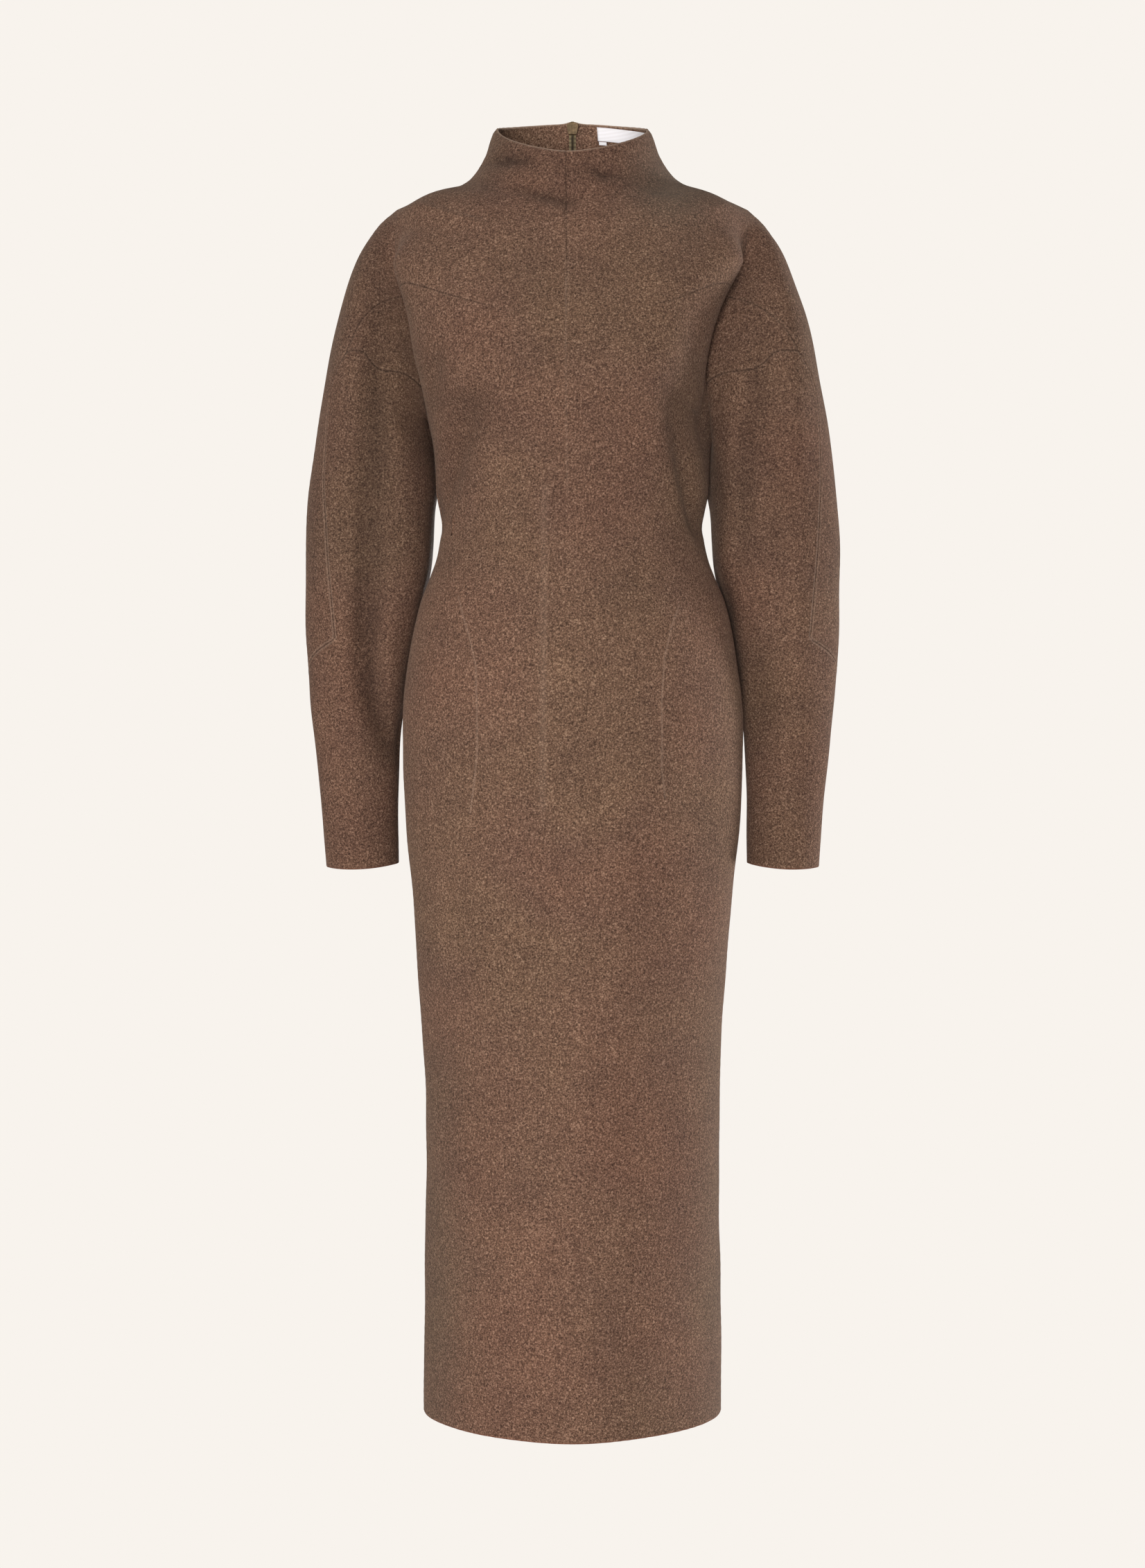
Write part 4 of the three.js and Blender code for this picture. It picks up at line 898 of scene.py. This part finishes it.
def felted_knit():
    """Melange wool knit, fulled until its stitches close, then brushed a little.

    It gives the eye a matt curly speckle of brown, tan and near black fibres, a soft fuzzy sheen
    where the cloth turns away, and reddish brown where it was cut raw. Painted shade, a painted grey
    sheen, painted light and painted highlights on the seams' lips, the darts, the creases and the
    collar's rim are mixed into its colour.
    """
    material, tree, shader = blank_material("felted melange wool knit")
    place = node(tree, "ShaderNodeTexCoord").outputs["Object"]

    # Yarn of several browns, felted: clumps 1.7 mm across that fade into one another.
    clump = node(tree, "ShaderNodeTexNoise", {"Vector": place, "Scale": 1 / 0.0017, "Detail": 3.0,
                                              "Roughness": 0.7, "Distortion": 0.6})
    base = ramp(tree, clump.outputs["Fac"],
                [(0.34, "#3c2b22"), (0.45, "#644b3e"), (0.55, "#896b5a"), (0.68, "#bfa18b")])
    # Single fibres curl over it, pale ones and dark ones, in loops about 1 mm across. The
    # real fibre is 0.03 mm thick, and it is drawn ten times as thick so that it shows.
    curl = node(tree, "ShaderNodeTexNoise", {"Vector": place, "Scale": 1 / 0.001, "Detail": 1.0,
                                             "Distortion": 1.4}).outputs["Fac"]
    pale = fibres(tree, curl, 0.53, 0.03)
    dark = fibres(tree, curl, 0.42, 0.035)
    haired = blend(tree, maths(tree, "MULTIPLY", pale, 0.45), base, "#c3a48b")
    haired = blend(tree, maths(tree, "MULTIPLY", dark, 0.5), haired, "#2f2119")
    # Shades of the felting: cloudy patches of 25 to 40 mm.
    cloud = node(tree, "ShaderNodeTexNoise", {"Vector": place, "Scale": 1 / 0.045, "Detail": 3.0,
                                              "Roughness": 0.6})
    tint = ramp(tree, cloud.outputs["Fac"], [(0.3, "#dfd8d6"), (0.7, "#f6efe9")])
    mixed = blend(tree, 1.0, haired, tint, blend_type="MULTIPLY")
    # The dye lot wanders: broad areas lean to olive or to red.
    lot = node(tree, "ShaderNodeTexNoise", {"Vector": place, "Scale": 1 / 0.16, "Detail": 1.0})
    lean = ramp(tree, lot.outputs["Fac"], [(0.35, "#f2f3ec"), (0.5, "#f4f1ee"), (0.65, "#f7efec")])
    mixed = blend(tree, 1.0, mixed, lean, blend_type="MULTIPLY")
    # At a raw edge the cut ends of the fibres show reddish brown; on the collar's rim the edge is
    # painted pale instead, a painted highlight.
    cut_colour_and_rim_highlight = blend(tree, measure(tree, "rim"), "#7a4b38", "#b39a86")
    cut = blend(tree, line_of(tree, measure(tree, "raw_edge"), 1.2, 0.75), mixed, cut_colour_and_rim_highlight)
    # A seam is a dark groove with a painted highlight on the lip on each side; a dart and a crease
    # have the painted highlight alone. Its stitches show as dots, 3.6 mm to a stitch.
    seam, run, tone, open_ = (measure(tree, name)
                              for name in ("seam", "seam_run", "seam_tone", "seam_open"))
    beside = maths(tree, "SUBTRACT", seam, 1.5)
    closed = maths(tree, "MULTIPLY", tone, maths(tree, "SUBTRACT", 1.0, open_))
    lip = maths(tree, "MULTIPLY", line_of(tree, beside, 0.8, 0.34), closed)
    dart_crease_highlight = maths(tree, "ADD", line_of(tree, measure(tree, "dart"), 1.0, 0.22),
                    line_of(tree, measure(tree, "crease"), 2.4, 0.13))
    lip_highlight = node(tree, "ShaderNodeMath", {0: lip, 1: dart_crease_highlight}, operation="ADD",
                  use_clamp=True).outputs[0]
    highlit = blend(tree, lip_highlight, cut, "#b09480")
    dots = maths(tree, "SINE", maths(tree, "MULTIPLY", run, 2 * math.pi / 3.6))
    stitch = maths(tree, "MULTIPLY_ADD", dots, 0.35, 0.75)
    sunk = maths(tree, "MULTIPLY", line_of(tree, seam, 0.65, 0.75), stitch)
    groove = node(tree, "ShaderNodeMath", {0: sunk, 1: tone}, operation="MULTIPLY",
                  use_clamp=True).outputs[0]
    shaded = blend(tree, groove, highlit, "#2a1d16")
    # Painted shade darkens the colour in hollows, folds, the creases at the arms, on the sleeves, the
    # chest and the collar; a painted sheen greys it on the right shoulder and the skirt's sides, and
    # painted light pales it beside the crease at the right arm.
    for name, shade in (("nap_shade", "#1d130e"), ("nap_grey", "#51564c"),
                        ("nap_pale", "#bd9a82")):
        shaded = blend(tree, measure(tree, name), shaded, shade)
    tree.links.new(shaded, shader.inputs["Base Color"])

    # Height: the clumps, and a soft lumpiness of the fulled cloth at 5 mm.
    lump = node(tree, "ShaderNodeTexNoise", {"Vector": place, "Scale": 1 / 0.006, "Detail": 2.0})
    low = node(tree, "ShaderNodeBump", {"Height": lump.outputs["Fac"], "Distance": 0.0012,
                                        "Strength": 0.25})
    fine = node(tree, "ShaderNodeBump", {"Height": clump.outputs["Fac"], "Distance": 0.001,
                                         "Strength": 0.7, "Normal": low.outputs["Normal"]})
    tree.links.new(fine.outputs["Normal"], shader.inputs["Normal"])
    set_values(shader, {"Roughness": 0.96, "Specular IOR Level": 0.25, "Sheen Weight": 0.15,
                        "Sheen Roughness": 0.4, "Sheen Tint": linear("#cdb29c")})
    return material


def set_values(shader, values):
    for socket, value in values.items():
        shader.inputs[socket].default_value = value


def plain_material(name, kind, inputs, colours, values, bump=None, **settings):
    """A material whose colour, and its height if it has one, follow a single texture."""
    material, tree, shader = blank_material(name)
    place = node(tree, "ShaderNodeTexCoord").outputs["Object"]
    field = node(tree, kind, {"Vector": place, **inputs}, **settings).outputs["Fac"]
    tree.links.new(ramp(tree, field, colours), shader.inputs["Base Color"])
    if bump:
        height = node(tree, "ShaderNodeBump", {"Height": field, "Distance": bump[0],
                                               "Strength": bump[1]})
        tree.links.new(height.outputs["Normal"], shader.inputs["Normal"])
    set_values(shader, values)
    return material, tree, shader, field


def zip_tape_cloth():
    """Woven polyester tape, dyed olive: fine ribs across it, and a slight sheen."""
    return plain_material("woven polyester zip tape", "ShaderNodeTexWave",
                          {"Scale": 1 / 0.0007 / 20, "Distortion": 0.4},
                          [(0.2, "#62543c"), (0.8, "#857453")],
                          {"Roughness": 0.75, "Sheen Weight": 0.1}, bump=(0.0002, 0.5),
                          bands_direction="Z")[0]


def bronze_zinc():
    """Die cast zinc with a bronze plate: warm olive metal, duller in its hollows."""
    material, tree, shader, wear = plain_material(
        "bronze plated zinc", "ShaderNodeTexNoise", {"Scale": 1 / 0.0025, "Detail": 4.0},
        [(0.3, "#5c4c34"), (0.55, "#776248"), (0.75, "#93795a")], {"Metallic": 0.6},
        bump=(0.0001, 0.2))
    rough = node(tree, "ShaderNodeMapRange", {"Value": wear, "To Min": 0.5, "To Max": 0.68})
    tree.links.new(rough.outputs["Result"], shader.inputs["Roughness"])
    return material


def satin_label():
    """Woven polyester satin, off white: fine long floats across, a soft sheen."""
    return plain_material("woven polyester satin label", "ShaderNodeTexWave",
                          {"Scale": 1 / 0.0006 / 20, "Distortion": 0.6},
                          [(0.1, "#ebe6e7"), (0.9, "#f2eef0")],
                          {"Roughness": 0.5, "Sheen Weight": 0.15}, bump=(0.0001, 0.08),
                          bands_direction="Z")[0]


def nylon_coil():
    """Extruded nylon monofilament, dyed dark olive: smooth, faintly shiny turns."""
    return plain_material("nylon zip coil", "ShaderNodeTexNoise", {"Scale": 1 / 0.003},
                          [(0.3, "#30261a"), (0.7, "#4c3f2b")], {"Roughness": 0.45})[0]


MATERIALS = {}


def finish(name):
    makers = {"knit": felted_knit, "tape": zip_tape_cloth, "metal": bronze_zinc,
              "label": satin_label, "coil": nylon_coil}
    if name not in MATERIALS:
        MATERIALS[name] = makers[name]()
    return MATERIALS[name]


# The cloth.


# The form of a seam and a dart in mm: a groove by its depth or share of it and half width, a
# lip by its height, distance and half width, and a pucker by its height, length and reach.
SEAM_SHAPE = {"groove share": (0.2, 0.8), "groove half": 0.9, "lip": (0.3, 2.2, 1.4),
              "pucker": (0.1, 9.1, 5), "dart groove": (0.2, 0.8), "dart lip": (0.45, 0.9, 1.5)}
TURNED_IN = 0.04  # mm that a panel's border is drawn in at its seams


def seam_depth(sheet, cloth):
    """How far the surface sinks at seams and darts, with a low lip beside each groove."""
    gap, dart = sheet.seam_gap, sheet.dart_gap
    shape = SEAM_SHAPE
    groove = (cloth.seam_depth * mix(*shape["groove share"], sheet.seam_tone)
              * np.exp(-(gap / shape["groove half"]) ** 2))
    high, off, half = shape["lip"]
    lip = high * sheet.seam_tone * np.exp(-((gap - off) / half) ** 2)
    high, long, reach = shape["pucker"]
    pucker = np.sin(sheet.seam_run * (2 * np.pi / long)) * high * np.exp(-(gap / reach) ** 2)
    (deep, narrow), (high, off, half) = shape["dart groove"], shape["dart lip"]
    fold = deep * np.exp(-(dart / narrow) ** 2) - high * np.exp(-((dart - off) / half) ** 2)
    return groove - lip + pucker + fold


def raw_round(gap, radius=0.9):
    """How far a face draws in where a raw edge is worn round."""
    inside = np.clip(radius - gap, 0, radius)
    return radius - np.sqrt(np.maximum(radius ** 2 - inside ** 2, 0))


def build_panel(sheet, index, cloth):
    name = PANELS[index]
    quads = sheet.quads[sheet.panels == index]
    used, local = np.unique(quads, return_inverse=True)
    local = local.reshape(quads.shape)
    points, normal = sheet.points[used], sheet.smooth_normal[used]

    start = local.ravel()
    end = np.roll(local, -1, axis=1).ravel()
    real = start != end
    start, end = start[real], end[real]
    size = len(used)
    forward = start.astype(np.int64) * size + end
    backward = end.astype(np.int64) * size + start
    border = ~np.isin(forward, backward)
    a, b = start[border], end[border]
    direction = points[b] - points[a]
    direction /= np.linalg.norm(direction, axis=1, keepdims=True).clip(1e-9)
    pull = np.zeros_like(points)
    for c in (a, b):
        np.add.at(pull, c, np.cross(normal[c], direction))
    length = np.linalg.norm(pull, axis=1, keepdims=True)
    pull = np.where(length > 1e-6, pull / length.clip(1e-6), 0) * TURNED_IN

    gap = sheet.edge_gap[used]
    sunk = seam_depth(sheet, cloth)[used]
    rounded = raw_round(gap)
    outer = points + pull - normal * (sunk + rounded)[:, None]
    inner = points + pull - normal * (cloth.thickness - rounded + 0.25 * sunk)[:, None]
    vertices = np.vstack([outer, inner])

    faces = []
    for loop in local.tolist():
        ring = [c for i, c in enumerate(loop) if c != loop[i - 1]]
        faces.append(ring)
        faces.append([c + size for c in reversed(ring)])
    faces += np.stack([b, a, a + size, b + size], -1).tolist()
    piece = new_piece(f"knit_{name}", vertices, faces)
    mesh = piece.data
    for label, values in (
            ("seam", sheet.seam_gap), ("seam_run", sheet.seam_run), ("seam_tone", sheet.seam_tone),
            ("seam_open", sheet.seam_open), ("raw_edge", sheet.edge_gap),
            ("dart", sheet.dart_gap), ("crease", sheet.crease_gap),
            ("nap_grey", sheet.grey), ("nap_pale", sheet.pale)):
        attribute(mesh, label, np.tile(values[used], 2))
    # The painted shade is left off the cloth's inner side.
    attribute(mesh, "nap_shade", np.concatenate([sheet.shade[used], np.zeros(len(used))]))
    # Where the raw edge is painted pale, a painted highlight: the collar's rim, high up.
    attribute(mesh, "rim", np.tile(ease((points[:, 2] + 60) / 30), 2))
    # Sharp at the seams, so that the turned-in border doesn't shade the face; soft at raw edges.
    sharp = {tuple(sorted(pair)) for pair in zip(a.tolist(), b.tolist())
             if gap[pair[0]] > 0.5 or gap[pair[1]] > 0.5}
    sharp |= {(p + size, q + size) for p, q in sharp}
    flags = [tuple(sorted(edge.vertices)) in sharp for edge in mesh.edges]
    layer = mesh.attributes.new("sharp_edge", "BOOLEAN", "EDGE")
    layer.data.foreach_set("value", flags)

    give(piece, finish("knit"))
    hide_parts(name)
    return piece


# The zip and the labels.

def rounded_copy(node_name, name, width_mm, material, body="root"):
    """A piece with the shape of a CAD node and its edges rounded."""
    source = frame["nodes"][node_name]
    mesh = source.data.copy()
    mesh.name = name
    made = bmesh.new()
    made.from_mesh(mesh)
    bmesh.ops.remove_doubles(made, verts=made.verts, dist=1e-6)
    bmesh.ops.dissolve_limit(made, angle_limit=math.radians(2), verts=made.verts, edges=made.edges)
    edges = [e for e in made.edges if len(e.link_faces) == 2
             and e.calc_face_angle(0) > math.radians(35)]
    bmesh.ops.bevel(made, geom=edges, offset=width_mm * MM, segments=2, affect="EDGES",
                    profile=0.5, clamp_overlap=True)
    bmesh.ops.triangulate(made, faces=made.faces)
    made.to_mesh(mesh)
    made.free()
    mesh.polygons.foreach_set("use_smooth", [False] * len(mesh.polygons))
    piece = bpy.data.objects.new(name, mesh)
    piece.matrix_world = source.matrix_world
    bpy.context.scene.collection.objects.link(piece)
    give(piece, material, body)
    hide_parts(node_name)
    return piece


ZIP_TOP, ZIP_END = 75.0, -224.0
TAPE_FACES = (2.7, 3.3)  # mm inside the cloth's outer face
COIL = {"top": 65.3, "pitch": 1.3, "radius": 0.28, "wide": 1.5, "deep": 0.55, "sides": 6,
        "steps": 10}


def centre_back(sheet, z):
    line = sheet.points[sheet.seams["centre back"]]
    order = np.argsort(line[:, 2])
    return np.interp(z, line[order, 2], line[order, 1])


def tube(path, radius, sides):
    """A round tube along a path of points: vertices and faces, closed at both ends."""
    path = np.asarray(path, float)
    way = np.gradient(path, axis=0)
    way /= np.linalg.norm(way, axis=1, keepdims=True).clip(1e-9)
    up = np.array([0.0, 0.0, 1.0]) if abs(way[0, 2]) < 0.9 else np.array([1.0, 0, 0])
    across = np.zeros_like(path)
    last = up
    for i, w in enumerate(way):
        last = last - w * (last @ w)
        last /= max(np.linalg.norm(last), 1e-9)
        across[i] = last
    other = np.cross(way, across)
    angle = np.linspace(0, 2 * np.pi, sides, endpoint=False)
    vertices = (path[:, None] + radius * (np.cos(angle)[None, :, None] * across[:, None]
                                          + np.sin(angle)[None, :, None] * other[:, None]))
    vertices = vertices.reshape(-1, 3)
    faces = []
    for i in range(len(path) - 1):
        for k in range(sides):
            a, b = i * sides + k, i * sides + (k + 1) % sides
            faces.append([a, b, b + sides, a + sides])
    faces.append(list(range(sides))[::-1])
    faces.append(list(range(len(vertices) - sides, len(vertices))))
    return vertices, faces


def build_coil(sheet, side):
    turns = (COIL["top"] - ZIP_END - 5.5) / COIL["pitch"]
    t = np.linspace(0, turns * 2 * np.pi, int(turns * COIL["steps"]))
    z = COIL["top"] - COIL["pitch"] * t / (2 * np.pi) - (0 if side > 0 else COIL["pitch"] / 2)
    x = side * (0.1 + COIL["wide"] * (0.5 - 0.5 * np.cos(t)))
    y = centre_back(sheet, z) - 4.4 + COIL["deep"] * np.sin(t)
    vertices, faces = tube(np.stack([x, y, z], -1), COIL["radius"], COIL["sides"])
    piece = new_piece(f"zip_coil_{'left' if side > 0 else 'right'}", vertices, faces)
    give(piece, finish("coil"))
    return piece


def slab(outer, inner):
    """The vertices and faces of a closed slab between two grids of points."""
    n, m = outer.shape[:2]
    vertices = np.vstack([outer.reshape(-1, 3), inner.reshape(-1, 3)])
    faces = []
    for i in range(n - 1):
        for k in range(m - 1):
            a, b, c, d = i * m + k, i * m + k + 1, (i + 1) * m + k + 1, (i + 1) * m + k
            faces += [[a, b, c, d], [d + n * m, c + n * m, b + n * m, a + n * m]]
    rim = ([i * m for i in range(n)] + [(n - 1) * m + k for k in range(1, m)]
           + [i * m + m - 1 for i in range(n - 2, -1, -1)] + list(range(m - 2, 0, -1)))
    for p, q in zip(rim, rim[1:] + rim[:1]):
        faces.append([p, q, q + n * m, p + n * m])
    return vertices, faces


def build_tape(sheet, side):
    """One tape of the zip, thinner at its edges."""
    z = np.concatenate([np.arange(ZIP_TOP, ZIP_END, -3.0), [ZIP_END]])
    across = side * np.array([0.15, 0.8, 1.6, 2.4, 3.1, 3.5])
    thick = np.array([0.5, 0.6, 0.6, 0.6, 0.6, 0.4])
    y = centre_back(sheet, z)
    outer, inner = (
        np.stack([np.stack([np.full_like(z, x), y - deep - out * (0.6 - t) / 2, z], -1)
                  for x, t in zip(across, thick)], 1)
        for deep, out in zip(TAPE_FACES, (1, -1)))
    vertices, faces = slab(outer, inner)
    if side < 0:
        faces = [f[::-1] for f in faces]
    name = "left" if side > 0 else "right"
    piece = new_piece(f"zip_tape_{name}_woven", vertices, faces)
    give(piece, finish("tape"))
    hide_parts(f"zip_tape_{name}")
    return piece


# The bare labels inside the collar: from and to, in shares of the way round from the centre
# back, and top and foot, in shares of the way up from the shoulder.
LABELS = {"neck_label": (0.23, 0.93, 0.972, 0.83), "small_label": (0.24, 0.31, 0.823, 0.785)}
LABEL_CLEAR, LABEL_THICK = 2.6, 0.5  # mm inside the cloth's outer face, and mm thick


def build_label(sheet, name):
    first, last, top, foot = LABELS[name]
    ids = sheet.ids["body", "back", 1]
    rows = np.linspace((1 - top) * SHOULDER_ROWS, (1 - foot) * SHOULDER_ROWS, 13)
    cols = np.linspace(first * BODY_COLUMNS, last * BODY_COLUMNS, 41)
    inside = [i for i, p in enumerate(sheet.places) if p <= SHOULDER_ROWS]
    places = sheet.places[inside]
    grid, normal = sheet.points[ids[inside]], sheet.smooth_normal[ids[inside]]

    def read(values):
        across = np.stack([[np.interp(cols, sheet.columns, row[:, k]) for k in range(3)]
                           for row in values])
        return np.stack([[np.interp(rows, places, across[:, k, c]) for c in range(len(cols))]
                         for k in range(3)], -1).transpose(1, 0, 2)

    at, way = read(grid), read(normal)
    way /= np.linalg.norm(way, axis=2, keepdims=True)
    n, m = at.shape[:2]
    edge = np.minimum.outer(np.minimum(np.arange(n), np.arange(n)[::-1]),
                            np.minimum(np.arange(m), np.arange(m)[::-1]))
    slim = np.where(edge == 0, LABEL_THICK / 4, 0)
    outer = at - way * (LABEL_CLEAR + slim)[..., None]
    inner = at - way * (LABEL_CLEAR + LABEL_THICK - slim)[..., None]
    vertices, faces = slab(outer, inner)
    piece = new_piece(f"{name}_satin", vertices, [f[::-1] for f in faces])
    give(piece, finish("label"))
    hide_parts(name)
    return piece


# The stage.

# Each lamp's spread and turn, in degrees.
LAMPS = {"front": (16, (104, 0, -7)), "key": (20, (90, 0, -52)), "fill": (30, (92, 0, 55)),
         "back": (20, (86, 0, 176)), "top": (24, (42, 0, 8)), "edge": (12, (98, 0, 115))}
SURROUND, FLOOR_HALF, FLOOR = 14, 12, -1.7  # metres
CAMERA_AT = (0, -2.2, -0.608)


def plain_light(name, colour, strength):
    material = bpy.data.materials.new(name)
    material.use_nodes = True
    tree = material.node_tree
    tree.nodes.clear()
    glow = node(tree, "ShaderNodeEmission", {"Color": linear(colour), "Strength": strength})
    node(tree, "ShaderNodeOutputMaterial", {"Surface": glow.outputs[0]})
    return material


def build_stage(light):
    scene = bpy.context.scene
    scene.view_settings.view_transform = "Standard"
    scene.view_settings.look = "None"
    scene.view_settings.exposure = 0
    scene.view_settings.gamma = 1
    paper = plain_light("pale studio paper", "#f8f3ed", 1.0)

    dome = bmesh.new()
    bmesh.ops.create_uvsphere(dome, u_segments=32, v_segments=16, radius=SURROUND)
    mesh = bpy.data.meshes.new("studio_surround")
    dome.to_mesh(mesh)
    dome.free()
    surround = bpy.data.objects.new("studio_surround", mesh)
    floor_mesh = bpy.data.meshes.new("studio_floor")
    corners = [(-1, -1), (1, -1), (1, 1), (-1, 1)]
    floor_mesh.from_pydata([(x * FLOOR_HALF, y * FLOOR_HALF, FLOOR) for x, y in corners],
                           [], [(0, 1, 2, 3)])
    floor = bpy.data.objects.new("studio_floor", floor_mesh)
    for piece in (surround, floor):
        scene.collection.objects.link(piece)
        piece.data.materials.append(paper)
        # The paper is only seen: the light comes from the world and the lamps.
        piece.visible_diffuse = piece.visible_glossy = False
        piece.visible_transmission = piece.visible_shadow = False

    world = bpy.data.worlds.new("soft studio")
    world.use_nodes = True
    tree = world.node_tree
    tree.nodes.clear()
    glow = node(tree, "ShaderNodeBackground", {"Color": linear("#f8f5f2"),
                                               "Strength": light.ambient})
    node(tree, "ShaderNodeOutputWorld", {"Surface": glow.outputs[0]})
    scene.world = world

    for name, (spread, turn) in LAMPS.items():
        lamp = bpy.data.lights.new(name, "SUN")
        lamp.energy = getattr(light, name)
        lamp.angle = math.radians(spread)
        made = bpy.data.objects.new(name, lamp)
        made.rotation_euler = [math.radians(v) for v in turn]
        scene.collection.objects.link(made)

    camera = bpy.data.cameras.new("camera")
    camera.lens = 50
    camera.sensor_width = 36
    camera.sensor_fit = "AUTO"
    camera.clip_end = 60
    made = bpy.data.objects.new("camera", camera)
    made.location = CAMERA_AT
    made.rotation_euler = (math.radians(90), 0, 0)
    scene.collection.objects.link(made)
    scene.camera = made


# Settings, operators and panel.

class DressClothSettings(bpy.types.PropertyGroup):
    """Sizes of the felted knit."""
    thickness: FloatProperty(name="Cloth thickness", description="Thickness of the knit in mm",
                             default=2.0, min=1.0, max=3.0)
    seam_depth: FloatProperty(name="Seam depth", description="Depth of a seam's groove in mm",
                              default=0.9, min=0.0, max=1.5)


class DressLightSettings(bpy.types.PropertyGroup):
    """Strengths of the studio's light."""
    ambient: FloatProperty(name="Ambient", description="Light from all round", default=0.30)
    front: FloatProperty(name="Front", description="Broad light from the camera's side, low down",
                         default=2.2)
    key: FloatProperty(name="Key", description="Soft light from the left", default=0.7)
    fill: FloatProperty(name="Fill", description="Soft light from the right", default=0.12)
    back: FloatProperty(name="Back", description="Broad light from behind", default=1.8)
    edge: FloatProperty(name="Edge", description="Light on the right edge from behind",
                        default=2.6)
    top: FloatProperty(name="Top", description="Weak light from above", default=0.35)


class DRESS_OT_cloth(bpy.types.Operator):
    """Build the nine cloth panels"""
    bl_idname = "dress.cloth"
    bl_label = "Cloth panels"

    def execute(self, context):
        sheet = dress()
        for index in range(len(PANELS)):
            build_panel(sheet, index, context.scene.dress_cloth)
        return {"FINISHED"}


class DRESS_OT_zip(bpy.types.Operator):
    """Build the zip's tapes, coils, stop, slider and pull tab"""
    bl_idname = "dress.zip"
    bl_label = "Zip"

    def execute(self, context):
        sheet = dress()
        for side in (-1, 1):
            build_tape(sheet, side)
            build_coil(sheet, side)
        for part, width, body in (("stop", 0.3, "root"), ("slider", 0.22, "root"),
                                  ("pull_tab", 0.22, "pull_tab")):
            rounded_copy(f"zip_{part}", f"zip_{part}_cast", width, finish("metal"),
                         body)
        return {"FINISHED"}


class DRESS_OT_labels(bpy.types.Operator):
    """Build the two bare labels inside the collar"""
    bl_idname = "dress.labels"
    bl_label = "Labels"

    def execute(self, context):
        sheet = dress()
        label, small = [build_label(sheet, name) for name in LABELS]
        return {"FINISHED"}


class DRESS_OT_stage(bpy.types.Operator):
    """Set up the camera, the lights and the pale paper"""
    bl_idname = "dress.stage"
    bl_label = "Stage"

    def execute(self, context):
        build_stage(context.scene.dress_light)
        return {"FINISHED"}


class DRESS_PT_panel(bpy.types.Panel):
    bl_label = "Dress"
    bl_idname = "DRESS_PT_panel"
    bl_space_type = "VIEW_3D"
    bl_region_type = "UI"
    bl_category = "Dress"

    def draw(self, context):
        for operator in OPERATORS:
            self.layout.operator(operator.bl_idname)
        for group in (context.scene.dress_cloth, context.scene.dress_light):
            for name in group.__annotations__:
                self.layout.prop(group, name)


OPERATORS = (DRESS_OT_stage, DRESS_OT_cloth, DRESS_OT_zip, DRESS_OT_labels)
CLASSES = (DressClothSettings, DressLightSettings) + OPERATORS + (DRESS_PT_panel,)


def register():
    for item in CLASSES:
        bpy.utils.register_class(item)
    bpy.types.Scene.dress_cloth = PointerProperty(type=DressClothSettings)
    bpy.types.Scene.dress_light = PointerProperty(type=DressLightSettings)


def unregister():
    del bpy.types.Scene.dress_light
    del bpy.types.Scene.dress_cloth
    for item in reversed(CLASSES):
        bpy.utils.unregister_class(item)


def main():
    register()
    bpy.ops.dress.stage()
    bpy.ops.dress.cloth()
    bpy.ops.dress.zip()
    bpy.ops.dress.labels()


if __name__ == "__main__":
    main()
